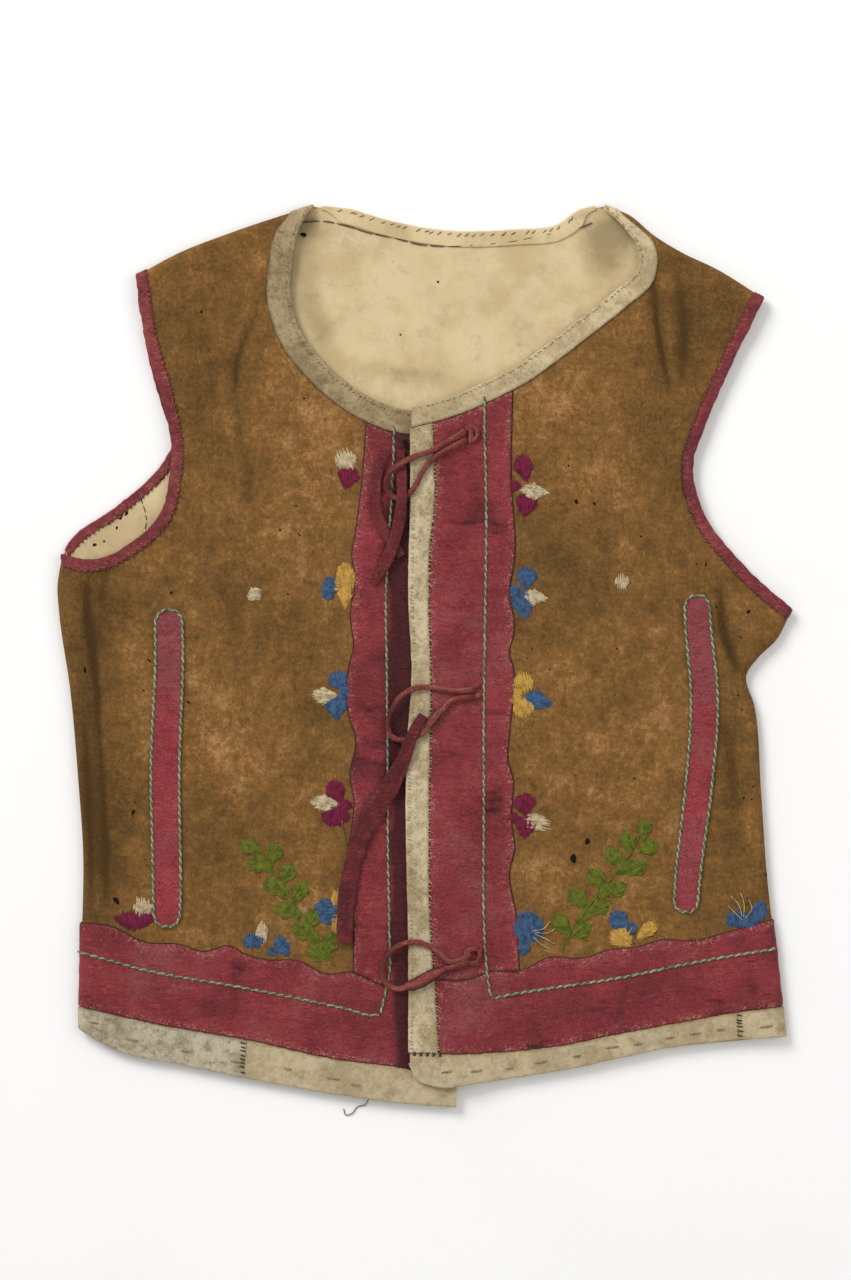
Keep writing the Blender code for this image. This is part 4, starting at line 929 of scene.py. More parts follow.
def edge_steps(width: float, step: float = 1.3, start: bool = True) -> Array:
    """Shares across a strip, closer near the sides that are rounded off: its end, and its start if stated."""
    near = np.array([0.0, 0.12, 0.3, 0.55, 0.9]) / width
    low, high = (near[-1] if start else 0.0), 1 - near[-1]
    middle = np.linspace(low, high, max(3, int((high - low) * width / step) + 1))
    return np.concatenate([near[:-1] if start else near[:0], middle, (1 - near)[-2::-1]])


def width_along(places: Sequence[Union[Rib, Tail]], shares: Array) -> Array:
    """The width at shares of the line through a strip's places, even between them."""
    knots = Line([place[:-1] for place in places], steps=1)
    return np.interp(shares, knots.place / knots.length, [place.width for place in places])


def matched(shares: Array, line: Line, other: Line) -> Array:
    """Shares of another line beside those of a line, at equal distances over the fold at their ends."""
    calm, other_calm = (1 - FOLD_REACH / one.length for one in (line, other))
    over = 1 - (1 - shares) * line.length / other.length
    return np.where(shares > calm, over, shares * other_calm / calm)


def ruled(one: Line, one_shares: Array, other: Line, other_shares: Array, steps: Array) -> Array:
    """Plan rows that run straight from a line to another, at the shares given as steps."""
    start, end = one.at(one_shares)[:, None], other.at(other_shares)[:, None]
    return start + (end - start) * steps[None, :, None]


def beside(edge: Line, width: Union[float, Array], shares: Array, start_way: Spot, end_way: Spot,
           turns: Spot, steps: Array) -> Array:
    """Plan rows from an edge inward, square to it and swinging to a stated way over a share at each end.

    Args:
        edge: The line that the rows start from.
        width: How far they reach, negative towards the other side.
        shares: Where along the edge each row starts.
        start_way: The way that the first row takes.
        end_way: The way that the last row takes.
        turns: The shares of the edge over which the rows swing, at its start and end.
        steps: The shares across a row.

    Returns:
        Plan points, one row for each share.
    """
    reach = np.broadcast_to(width, shares.shape)[:, None]
    square = edge.ways(shares)[1] * np.sign(reach)
    at_start = smooth_step(1 - shares / turns[0])[:, None]
    at_end = smooth_step(1 - (1 - shares) / turns[1])[:, None]
    way = square * (1 - at_start - at_end)
    way = way + unit(np.array(start_way, float)) * at_start + unit(np.array(end_way, float)) * at_end
    return edge.at(shares)[:, None] + (unit(way) * abs(reach))[:, None] * steps[None, :, None]


def upright(inner: Line, outer: Line, bottom: Line, top: Line, across: Array, rows: int) -> Array:
    """Plan rows of a band whose four sides are lines: level rows, each column ending on bottom and top.

    Each column's end height is found by stepping between the height and the x that it has there.
    """
    def cross(y: Array, u: Array) -> Array:
        """The x at a height and a share across."""
        climbing = [line.points[np.argsort(line.points[:, 1])].T for line in (inner, outer)]
        low, high = (np.interp(y, heights, x) for x, heights in climbing)
        return low * (1 - u) + high * u

    ends = []
    for line in (bottom, top):
        x, y = line.points[np.argsort(line.points[:, 0])].T
        height = np.full_like(across, y.mean())
        for _ in range(20):
            height = np.interp(cross(height, across), x, y)
        ends.append(height)
    y = ends[0] + (ends[1] - ends[0]) * np.linspace(0, 1, rows + 1)[:, None]
    return np.stack([cross(y, across), y], axis=-1)


def distances(grid: Array, axis: int) -> tuple[Array, Array]:
    """Distances along one way of a grid, from its start and from its end."""
    steps = np.linalg.norm(np.diff(grid, axis=axis), axis=-1)
    first = np.zeros_like(grid[..., 0])
    if axis == 0:
        first[1:] = np.cumsum(steps, axis=0)
        return first, first[-1:] - first
    first[:, 1:] = np.cumsum(steps, axis=1)
    return first, first[:, -1:] - first


class Side(Enum):
    """A side of a strip's grid that is cut free and rounded off."""

    FIRST_COLUMN = 0
    LAST_COLUMN = 1
    FIRST_ROW = 2
    LAST_ROW = 3


def free_depth(plan: Array, sides: Sequence[Side]) -> Array:
    """The distance from each point of a grid to the nearest of its free sides."""
    near = np.full(plan.shape[:-1], 1e3)
    columns, rows = distances(plan, 1), distances(plan, 0)
    by_side = {
        Side.FIRST_COLUMN: columns[0], Side.LAST_COLUMN: columns[1],
        Side.FIRST_ROW: rows[0], Side.LAST_ROW: rows[1],
    }
    for side in sides:
        near = np.minimum(near, by_side[side])
    return near


def rounded(depth: Array) -> Array:
    """From the least share at a free side up to 1, as a quarter circle over the bevel."""
    across = 1 - np.clip(depth / BEVEL, 0, 1)
    return BEVEL_LEAST + (1 - BEVEL_LEAST) * np.sqrt(1 - across**2)


def make_piece(name: str, points: Array, faces: Sequence[Array], finishes: Sequence[Finish],
               finish_of: Sequence[int] = (), values: Mapping[str, Array] = {}) -> Thing:
    """A mesh object from arrays, its place in its mesh and its faces outwards.

    Args:
        name: The piece's name.
        points: Its points in table millimetres.
        faces: Arrays of point numbers, one array for each count of corners or each finish.
        finishes: Its materials.
        finish_of: The number of the material of each array of faces.
        values: Named numbers, one for each point, for the shader.

    Returns:
        The object, linked to the scene.
    """
    mesh = bpy.data.meshes.new(name)
    corners = [face for group in faces for face in group.tolist()]
    mesh.from_pydata(((points - ORIGIN) * MM).tolist(), [], corners)
    for finish in finishes:
        mesh.materials.append(finish)
    if len(finish_of):
        numbers = np.concatenate([np.full(len(group), k) for group, k in zip(faces, finish_of)])
        mesh.polygons.foreach_set("material_index", numbers.astype(np.int32))
    for key, numbers in values.items():
        layer = mesh.attributes.new(key, "FLOAT", "POINT")
        layer.data.foreach_set("value", np.asarray(numbers, np.float32).ravel())
    mesh.shade_smooth()
    mesh.set_sharp_from_angle(angle=math.radians(50))
    made = bpy.data.objects.new(name, mesh)
    bpy.context.scene.collection.objects.link(made)
    LOG.info("%s: %d points, %d faces", name, len(points), len(mesh.polygons))
    return made


def wall_faces(rows: int, columns: int) -> list[Array]:
    """The faces of a wall between two grids: one side, the other side, and the rim."""
    count = rows * columns
    index = np.arange(count).reshape(rows, columns)
    quads = np.stack([index[:-1, :-1], index[1:, :-1], index[1:, 1:], index[:-1, 1:]], axis=-1).reshape(-1, 4)
    ring = np.concatenate([index[0, :-1], index[:-1, -1], index[-1, :0:-1], index[:0:-1, 0]])
    after = np.roll(ring, -1)
    return [quads, quads[:, ::-1] + count, np.stack([ring, after, after + count, ring + count], axis=-1)]


def wall(name: str, outer: Array, inner: Array, finishes: Sequence[Finish],
         values: Mapping[str, Array] = {}) -> Thing:
    """A closed wall between two equal grids of points.

    Args:
        name: The piece's name.
        outer: The grid of the side that shows.
        inner: The grid behind it.
        finishes: The material of the side that shows, and of the other side and rim if it differs.
        values: Named numbers over the grid, for the shader.

    Returns:
        The piece.
    """
    rows, columns = outer.shape[:2]
    faces = wall_faces(rows, columns)
    points = np.concatenate([outer.reshape(-1, 3), inner.reshape(-1, 3)])
    corners = points[faces[0]]
    across = np.cross(corners[:, 2] - corners[:, 0], corners[:, 3] - corners[:, 1])
    out = (outer - inner)[:-1, :-1].reshape(-1, 3)
    if (across * out).sum() < 0:
        faces = [group[:, ::-1] for group in faces]
    other = 1 if len(finishes) > 1 else 0
    both = {key: np.concatenate([value.ravel(), value.ravel()]) for key, value in values.items()}
    return make_piece(name, points, faces, finishes, (0, other, other), both)


def cloudy(plan: Array) -> Array:
    """A tone that wavers softly about 0."""
    return lattice_noise(plan, 30, 30, 7)


def lap_shadow_tone(plan: Array) -> Array:
    """The same, with a painted shadow beside the edge that laps over it."""
    return cloudy(plan) - 2.0 * smooth_step((plan[..., 0] + 29) / 20)


def greyed_above(plan: Array) -> Array:
    """The same, and greyer towards the top of a pocket strip."""
    return np.maximum(cloudy(plan), -0.15) + 1.9 * smooth_step((plan[..., 1] + 70) / 90)


def laid_on(name: str, layer: Layer, plan: Array, sides: Sequence[Side], finish: Finish,
            tone: Callable[[Array], Array] = cloudy) -> Thing:
    """A strip of a layer, rounded off along its free sides.

    Args:
        name: The piece's name.
        layer: The layer that it is of.
        plan: Its grid of plan points.
        sides: Its free sides.
        finish: Its leather.
        tone: How grey or dark it is over the plan.

    Returns:
        The piece.
    """
    points, normal = layer.under.face(plan)
    depth = free_depth(plan, sides)
    top = SEAT + rounded(depth) * (layer.thickness + layer.wrinkles(plan))
    # The tone: the given tone, and painted shade in the band's creases.
    values = {"edge": depth, "tone": tone(plan) + BAND_CREASE_SHADE * layer.wrinkles.hollows(plan)}
    outer = points + top[..., None] * normal
    return wall(name, outer, points + 0.5 * SEAT * normal, [finish], values)


def unpinched(run: Array, depth: Array) -> Array:
    """The whole thickness everywhere."""
    return np.ones_like(depth)


def turned_over(name: str, surface: Surface, plan: Array, reach: float, finish: Finish,
                wrinkles: Callable[[Array], Array],
                pinch: Callable[[Array, Array], Array] = unpinched) -> Thing:
    """A strip that lies on a panel and turns down over its edge, which is column 0 of the plan.

    The turn is a quarter circle about the panel's edge, and then the strip runs down the cut wall.

    Args:
        name: The piece's name.
        surface: The panel's face.
        plan: Its grid of plan points.
        reach: How far it goes down the wall.
        finish: Its leather.
        wrinkles: Heights over the plan that are added to it.
        pinch: A share of the thickness at each point, from the distances along and from its free side.

    Returns:
        The piece.
    """
    points, normal = surface.face(plan)
    edge, up = points[:, 0], normal[:, 0]
    along = unit(np.gradient(edge, axis=0))
    out = unit(np.cross(along, up))
    inward = unit(points[:, 2] - edge)
    out = out * np.where((out * inward).sum(-1) > 0, -1.0, 1.0)[:, None]
    depth = free_depth(plan, (Side.LAST_COLUMN,))
    run = distances(points, 0)[0]
    shape = rounded(depth) * pinch(run, depth)
    height = SEAT + shape * (STRIP_THICKNESS + wrinkles(plan))
    angles = np.linspace(0, math.pi / 2, 7)[1:]
    downs = np.linspace(0, reach, 4)[1:]
    grids = []
    for distance in (height, np.full_like(height, 0.5 * SEAT)):
        flange = points[:, ::-1] + distance[:, ::-1, None] * normal[:, ::-1]
        radius = distance[:, :1]
        turn = [edge + radius * (math.cos(a) * up + math.sin(a) * out) for a in angles]
        drop = [edge + radius * out - d * up for d in downs]
        grids.append(np.concatenate([flange, np.stack(turn + drop, axis=1)], axis=1))
    extra = len(angles) + len(downs)
    far = np.concatenate([depth[:, ::-1], depth[:, :1] + np.arange(1, extra + 1) * 0.5], axis=1)
    tone = lattice_noise(plan, 30, 30, 9)[:, ::-1]
    tone = np.concatenate([tone, np.repeat(tone[:, -1:], extra, axis=1)], axis=1)
    return wall(name, grids[0], grids[1], [finish], {"edge": far, "tone": tone})


def smooth(plan: Array) -> Array:
    """No wrinkles at all."""
    return np.zeros(plan.shape[:-1])


@dataclass(frozen=True)
class SuedeRipple:
    """The slight unevenness of a soft strip."""

    depth: float
    seed: int

    def __call__(self, plan: Array) -> Array:
        """The heights over a plan."""
        finer = 0.6 * lattice_noise(plan, 2.2, 2.2, self.seed + 1)
        return self.depth * (lattice_noise(plan, 5, 5, self.seed) + finer)


@dataclass(frozen=True)
class Pinch:
    """Where thread pulls the free side of a strip down, once for each stitch."""

    pitch: float
    share: float
    reach: float = 1.6

    def __call__(self, run: Array, depth: Array) -> Array:
        """The share of the thickness left, from the distances along and from the free side."""
        beat = 0.5 + 0.5 * np.cos(2 * math.pi * run / self.pitch)
        return 1 - self.share * beat**3 * np.exp(-((depth / self.reach) ** 2))


class Tone:
    """A socket of a shader, worked with as a number."""

    def __init__(self, bench: "Bench", socket: bpy.types.NodeSocket) -> None:
        """Keeps the socket and the shader that it is in."""
        self.bench = bench
        self.socket = socket

    def _math(self, operation: str, first: Any, second: Any) -> "Tone":
        """One Math node."""
        return self.bench.tone("ShaderNodeMath", {"operation": operation}, {0: first, 1: second})

    def __add__(self, other: Any) -> "Tone":
        """self + other, or other + self"""
        return self._math("ADD", self, other)

    def __sub__(self, other: Any) -> "Tone":
        """self - other"""
        return self._math("SUBTRACT", self, other)

    def __rsub__(self, other: Any) -> "Tone":
        """other - self"""
        return self._math("SUBTRACT", other, self)

    def __mul__(self, other: Any) -> "Tone":
        """self * other, or other * self"""
        return self._math("MULTIPLY", self, other)

    __radd__, __rmul__ = __add__, __mul__

    def between(self, low: float, high: float) -> "Tone":
        """0 below low, 1 above high and a smooth step between, or the other way round if high is below."""
        inputs = {0: self, 1: low, 2: high, 3: 0.0, 4: 1.0}
        if high < low:
            inputs = {0: self, 1: high, 2: low, 3: 1.0, 4: 0.0}
        return self.bench.tone("ShaderNodeMapRange", {"interpolation_type": "SMOOTHSTEP"}, inputs)


class Bench:
    """The shader of one finish while it is put together."""

    def __init__(self, name: str) -> None:
        """Starts an empty material."""
        self.finish = bpy.data.materials.new(name)
        self.finish.use_nodes = True
        self.tree = self.finish.node_tree
        self.tree.nodes.clear()
        self.place = self.tone("ShaderNodeTexCoord", {}, {}, "Object")

    def node(self, kind: str, settings: Mapping[str, Any], inputs: Mapping[Any, Any]) -> bpy.types.Node:
        """A node of any type.

        Args:
            kind: The node's type.
            settings: Its own settings, set first; "stops" are a ramp's places and colours.
            inputs: The values or links of its sockets, by name or number.

        Returns:
            The node.
        """
        made = self.tree.nodes.new(kind)
        for key, value in settings.items():
            if key == "stops":
                stops = made.color_ramp.elements
                while len(stops) < len(value):
                    stops.new(0.5)
                for stop, (position, colour) in zip(stops, value):
                    stop.position = position
                    stop.color = (*colour, 1.0)
            else:
                setattr(made, key, value)
        for key, value in inputs.items():
            if isinstance(value, Tone):
                self.tree.links.new(value.socket, made.inputs[key])
            else:
                made.inputs[key].default_value = value
        return made

    def tone(self, kind: str, settings: Mapping[str, Any], inputs: Mapping[Any, Any],
             output: Union[int, str] = 0) -> Tone:
        """An output of a new node."""
        return Tone(self, self.node(kind, settings, inputs).outputs[output])

    def noise(self, size: float, detail: float = 3.0, stretch: tuple[float, float, float] = (1, 1, 1),
              rough: float = 0.55, bend: float = 0.0) -> Tone:
        """Cloudy unevenness.

        Args:
            size: The size of its largest clouds, in millimetres.
            detail: How many finer sizes are added.
            stretch: How much longer the clouds are along x, y and z.
            rough: How strong the finer sizes are.
            bend: How much the clouds are bent.

        Returns:
            A value from 0 to 1, mostly near a half.
        """
        scale = tuple(1 / s for s in stretch)
        vector = self.tone("ShaderNodeMapping", {}, {"Vector": self.place, "Scale": scale})
        inputs = {"Vector": vector, "Scale": 1 / (size * MM), "Detail": detail, "Roughness": rough,
                  "Distortion": bend}
        return self.tone("ShaderNodeTexNoise", {}, inputs, 0)

    def cells(self, size: float, output: str = "Distance") -> Tone:
        """Round cells of a size in millimetres, as the distance from each one's middle."""
        inputs = {"Vector": self.place, "Scale": 1 / (size * MM)}
        return self.tone("ShaderNodeTexVoronoi", {}, inputs, output)

    def value(self, name: str) -> Tone:
        """The numbers that the piece carries under a name."""
        return self.tone("ShaderNodeAttribute", {"attribute_name": name}, {}, "Fac")

    def mix(self, share: Any, first: Any, second: Any, blend: str = "MIX") -> Tone:
        """One colour into another by a share."""
        settings = {"data_type": "RGBA", "blend_type": blend}
        first, second = ((*c, 1.0) if isinstance(c, tuple) else c for c in (first, second))
        return self.tone("ShaderNodeMix", settings, {0: share, 6: first, 7: second}, 2)

    def ramp(self, share: Tone, stops: Sequence[tuple[float, Colour]]) -> Tone:
        """A colour for each value."""
        return self.tone("ShaderNodeValToRGB", {"stops": stops}, {0: share})

    def bump(self, height: Tone, depth: float, strength: float = 1.0) -> Tone:
        """Relief from heights between 0 and 1, a depth in millimetres high."""
        inputs = {"Height": height, "Distance": depth * MM, "Strength": strength}
        return self.tone("ShaderNodeBump", {}, inputs)

    def done(self, colour: Any, roughness: Any, normal: Tone, constants: Mapping[str, Any]) -> Finish:
        """Joins the parts to the surface.

        Args:
            colour: The base colour.
            roughness: The roughness.
            normal: The relief.
            constants: Other sockets of the shader, the same all over.

        Returns:
            The finished material.
        """
        inputs = {"Base Color": colour, "Roughness": roughness, "Normal": normal, **constants}
        shader = self.tone("ShaderNodeBsdfPrincipled", {}, inputs)
        self.node("ShaderNodeOutputMaterial", {}, {"Surface": shader})
        return self.finish


@dataclass(frozen=True)
class BodySuede:
    """Napped brown leather, mottled and scuffed, with patches and painted shade of its creases and side folds
    that the piece carries as tone.
    """

    name: str = "brown_suede"
    shadow: Colour = (0.054, 0.028, 0.009)
    dark: Colour = (0.098, 0.052, 0.0155)
    middle: Colour = (0.160, 0.082, 0.0245)
    warm: Colour = (0.226, 0.108, 0.031)
    pale: Colour = (0.400, 0.228, 0.094)

    def make(self) -> Finish:
        """The material.

        Its warmth is a sum of broad clouds, ragged patches, grit and the tone, read through a ramp; pale
        scuffs come through where two ragged noises are both high, and grime where one is low.
        """
        bench = Bench(self.name)
        clouds = bench.noise(60, 3, rough=0.5)
        ragged = bench.noise(21, 10, rough=0.74, bend=0.25)
        smears = bench.noise(10, 9, stretch=(1.7, 1, 1), rough=0.8)
        grit = bench.noise(2.6, 6, rough=0.85)
        streaks = bench.noise(6, 6, stretch=(1, 3.4, 1), rough=0.75, bend=0.3)
        nap = bench.noise(0.8, 3, stretch=(1, 2.2, 1))
        tone = bench.value("tone")
        uneven_tone = tone * (ragged * 1.6 + 0.2)
        warmth = clouds * 0.26 + ragged * 0.72 + smears * 0.55 + grit * 0.74 + streaks * 0.36
        warmth = warmth + uneven_tone * 0.125 - 0.855
        stops = [(0.23, self.dark), (0.42, self.middle), (0.56, self.warm), (0.80, self.pale)]
        colour = bench.ramp(warmth, stops)
        scuffs = smears.between(0.58, 0.66) * grit.between(0.44, 0.58) * (tone * 0.5 + 0.5).between(0.3, 0.9)
        colour = bench.mix(scuffs * 0.5, colour, self.pale)
        specks = grit.between(0.66, 0.74) * ragged.between(0.46, 0.56)
        colour = bench.mix(specks * 0.5, colour, self.pale)
        grime = grit.between(0.44, 0.30) * smears.between(0.52, 0.40)
        colour = bench.mix(grime * 0.55, colour, self.dark)
        # Painted shade in the creases and along the side folds, where the tone is lowest.
        colour = bench.mix(tone.between(-0.75, -2.2) * 0.8, colour, self.shadow)
        shade = nap * 0.75 + grit * 0.75 + 0.27
        grey = bench.tone("ShaderNodeCombineColor", {}, {0: shade, 1: shade, 2: shade})
        colour = bench.mix(1.0, colour, grey, "MULTIPLY")
        height = nap * 0.45 + grit * 0.6 + smears * 0.8
        return bench.done(colour, 0.95, bench.bump(height, 0.5, 0.9), {
            "Specular IOR Level": 0.1, "Sheen Weight": 0.03, "Sheen Roughness": 0.5,
            "Sheen Tint": (0.9, 0.65, 0.4, 1.0)})


@dataclass(frozen=True)
class InnerLeather:
    """The pale flesh side inside the vest, with lavender-grey stains and tiny pits."""

    name: str = "inner_leather"
    cream: Colour = (0.560, 0.425, 0.228)
    light: Colour = (0.680, 0.545, 0.325)
    grey: Colour = (0.400, 0.330, 0.235)
    shade: Colour = (0.290, 0.225, 0.118)

    def make(self) -> Finish:
        """The material."""
        bench = Bench(self.name)
        clouds = bench.noise(34, 7, rough=0.66)
        stains = bench.noise(13, 8, rough=0.74, bend=0.5)
        grit = bench.noise(2.2, 6, rough=0.85)
        nap = bench.noise(0.8, 3)
        pits = bench.noise(3.2, 3, rough=0.7)
        tone = bench.value("tone")
        ragged_tone = tone * (stains * 1.9 + grit * 0.7 - 0.15)
        colour = bench.mix((clouds + tone * 0.16).between(0.36, 0.64), self.cream, self.light)
        colour = bench.mix(stains.between(0.53, 0.66) * 0.42, colour, self.grey)
        # Stains and painted shade near the neck's corners and edges, carried by the tone.
        colour = bench.mix(ragged_tone.between(-0.12, -1.25) * 0.78, colour, self.shade)
        colour = bench.mix(pits.between(0.34, 0.25) * 0.6, colour, self.shade)
        colour = bench.mix(grit.between(0.40, 0.28) * 0.35, colour, self.grey)
        height = nap * 0.5 + pits * 0.4 + stains * 0.7 + grit * 0.4
        return bench.done(colour, 0.93, bench.bump(height, 0.34, 0.8), {"Specular IOR Level": 0.12})


@dataclass(frozen=True)
class StripSuede:
    """Pale suede of the strips and neck bindings, with grime in its nap and along its free side, and darker
    right at that side.
    """

    name: str
    pale: Colour
    light: Colour
    grime: Colour
    dirt: float

    def make(self) -> Finish:
        """The material."""
        bench = Bench(self.name)
        clouds = bench.noise(17, 8, rough=0.7)
        smears = bench.noise(6, 8, rough=0.8, bend=0.4)
        fleck = bench.noise(1.7, 5, rough=0.85)
        nap = bench.noise(0.7, 3)
        edge = bench.value("edge")
        tone = bench.value("tone")
        lighter = (clouds * 0.6 + smears * 0.4 + tone * 0.1).between(0.40, 0.60)
        colour = bench.mix(lighter, self.pale, self.light)
        colour = bench.mix(smears.between(0.50, 0.34) * self.dirt, colour, self.grime)
        colour = bench.mix(fleck.between(0.50, 0.34) * self.dirt, colour, self.grime)
        colour = bench.mix(smears.between(0.60, 0.68) * 0.6, colour, self.light)
        # Ragged grime near the free side, and a thin darker line right at it.
        rim = edge.between(2.4, 0.0) * smears.between(0.40, 0.56) * 0.75 + edge.between(0.8, 0.0) * 0.35
        colour = bench.mix(rim, colour, self.grime)
        colour = bench.mix(tone.between(-0.7, -1.8) * 0.8, colour, self.grime)
        height = nap * 0.6 + fleck * 0.7 + smears * 0.9
        return bench.done(colour, 0.95, bench.bump(height, 0.6, 0.9), {"Specular IOR Level": 0.1})


@dataclass(frozen=True)
class DyedLeather:
    """Thin crimson leather: greyed where its tone is high, darkened where it is low, by chance and as painted
    shade, flecked at its sides.
    """

    name: str
    deep: Colour
    bright: Colour
    rubbed: Colour
    fleck: Colour
    grain: float = 0.3
    worn_edge: float = 0.6

    def make(self) -> Finish:
        """The material."""
        bench = Bench(self.name)
        clouds = bench.noise(30, 7, rough=0.66)
        smears = bench.noise(7, 8, rough=0.76, bend=0.5)
        wrinkles = bench.noise(4.2, 4, stretch=(2.4, 1, 1), rough=0.62, bend=1.2)
        cracks = bench.noise(2.6, 2, stretch=(2.8, 1, 1), rough=0.5, bend=1.6)
        cracks = cracks.between(0.455, 0.495) * cracks.between(0.535, 0.495) * smears.between(0.40, 0.56)
        grain = bench.cells(1.3)
        worn = bench.noise(1.5, 6, rough=0.85)
        edge = bench.value("edge")
        tone = bench.value("tone")
        colour = bench.mix((smears * 0.5 + clouds * 0.6).between(0.38, 0.72), self.deep, self.bright)
        rubbed = (clouds * 0.7 + smears * 0.3 + tone * 0.14).between(0.50, 0.66)
        colour = bench.mix(rubbed * 0.5, colour, self.rubbed)
        # Painted shade in the wrinkles' valleys and cracks, and painted highlight on their ridges, following
        # the relief; the worn noise adds random dark mottling.
        valley_shade = wrinkles.between(0.44, 0.32)
        colour = bench.mix(valley_shade * 0.32, colour, self.deep)
        colour = bench.mix(worn.between(0.46, 0.32) * 0.4 + cracks * 0.55, colour, self.deep)
        colour = bench.mix(wrinkles.between(0.56, 0.66) * 0.3, colour, self.bright)
        near = edge.between(6.5, 0.5) * smears.between(0.46, 0.53) * self.worn_edge + 0.06
        flecks = worn.between(0.515, 0.575) * near
        colour = bench.mix(flecks, colour, self.fleck)
        colour = bench.mix(edge.between(0.9, 0.0) * 0.45, colour, self.deep)
        # Darker where the tone is low: random clouds, and painted shade under the lap, in the band's creases
        # and in a ribbon's low pleats.
        dark = tuple(0.22 * c for c in self.deep)
        colour = bench.mix((tone * (smears + 0.5)).between(-0.25, -1.1) * 0.85, colour, dark)
        roughness = 0.46 + smears * 0.2 + worn * 0.12
        height = wrinkles * 1.2 + smears * 0.7 + worn * 0.5 + grain * 0.25 - cracks * 0.7
        relief = bench.bump(height, self.grain, 0.85)
        return bench.done(colour, roughness, relief, {"Specular IOR Level": 0.26})


@dataclass(frozen=True)
class Thread:
    """Sewing or embroidery thread, a little uneven in colour along its length, with painted shade in the
    grooves of its twist.
    """

    name: str
    colour: Colour
    shadow: Colour
    roughness: float = 0.72
    sheen: float = 0.1

    def make(self) -> Finish:
        """The material."""
        bench = Bench(self.name)
        uneven = bench.noise(3.5, 4, rough=0.7)
        twist = bench.noise(0.35, 2, stretch=(1, 2.2, 1))
        colour = bench.mix(uneven.between(0.62, 0.34), self.colour, self.shadow)
        # Painted shade in the grooves of the twist.
        colour = bench.mix(twist.between(0.55, 0.35) * 0.5, colour, self.shadow)
        return bench.done(colour, self.roughness, bench.bump(twist, 0.14, 0.7), {
            "Specular IOR Level": 0.25, "Sheen Weight": self.sheen, "Sheen Roughness": 0.4})


@dataclass(frozen=True)
class Paper:
    """The plain pale ground."""

    name: str = "pale_ground"
    colour: Colour = (0.975, 0.975, 0.970)

    def make(self) -> Finish:
        """The material."""
        bench = Bench(self.name)
        soft = bench.noise(300, 2)
        shade = bench.mix(soft.between(0.3, 0.7), self.colour, tuple(0.985 * c for c in self.colour))
        return bench.done(shade, 0.85, bench.bump(soft, 0.01, 0.2), {"Specular IOR Level": 0.1})


class Lamp(NamedTuple):
    """A square soft light: its name, its place and side in metres, and its power in watts."""

    name: str
    place: tuple[float, float, float]
    power: float
    size: float


@dataclass
class Studio:
    """The ground, the soft lights and the camera that looks straight down."""

    distance: float = 2.5
    view_height: float = 0.8
    centre: tuple[float, float] = (-0.00024, 0.00977)
    ground: float = 3.0
    sensor: float = 36.0
    floor_level: float = -0.0004
    ambient: float = 0.50
    lamps: tuple[Lamp, ...] = (Lamp("key_light", (-2.4, 2.7, 2.85), 146.0, 2.1),
                               Lamp("fill_light", (1.3, 0.2, 1.7), 9.0, 1.6))

    def build(self) -> None:
        """Makes all of it."""
        scene = bpy.context.scene
        scene.view_settings.view_transform = "Standard"
        self._camera(scene)
        self._floor()
        for lamp in self.lamps:
            self._light(lamp)
        world = bpy.data.worlds.new("studio")
        world.use_nodes = True
        world.node_tree.nodes["Background"].inputs["Color"].default_value = (1.0, 0.99, 0.97, 1.0)
        world.node_tree.nodes["Background"].inputs["Strength"].default_value = self.ambient
        scene.world = world

    def _camera(self, scene: bpy.types.Scene) -> None:
        """A long lens straight above, its upright side the view's height at the ground."""
        seen = bpy.data.cameras.new("camera")
        seen.sensor_fit = "VERTICAL"
        seen.sensor_height = self.sensor
        seen.lens = self.sensor * self.distance / self.view_height
        camera = bpy.data.objects.new("camera", seen)
        camera.location = (*self.centre, self.distance)
        scene.collection.objects.link(camera)
        scene.camera = camera

    def _floor(self) -> None:
        """A plain square just under the vest."""
        half, low = self.ground / 2, self.floor_level
        corners = [(-half, -half, low), (half, -half, low), (half, half, low), (-half, half, low)]
        mesh = bpy.data.meshes.new("floor")
        mesh.from_pydata(corners, [], [(0, 1, 2, 3)])
        mesh.materials.append(Paper().make())
        floor = bpy.data.objects.new("floor", mesh)
        bpy.context.scene.collection.objects.link(floor)

    def _light(self, lamp: Lamp) -> None:
        """A square soft light that faces the vest."""
        light = bpy.data.lights.new(lamp.name, "AREA")
        light.energy = lamp.power
        light.size = lamp.size
        made = bpy.data.objects.new(lamp.name, light)
        made.location = lamp.place
        x, y, z = lamp.place
        made.rotation_euler = (math.atan2(math.hypot(x, y), z), 0.0, math.atan2(y, x) + math.pi / 2)
        bpy.context.scene.collection.objects.link(made)


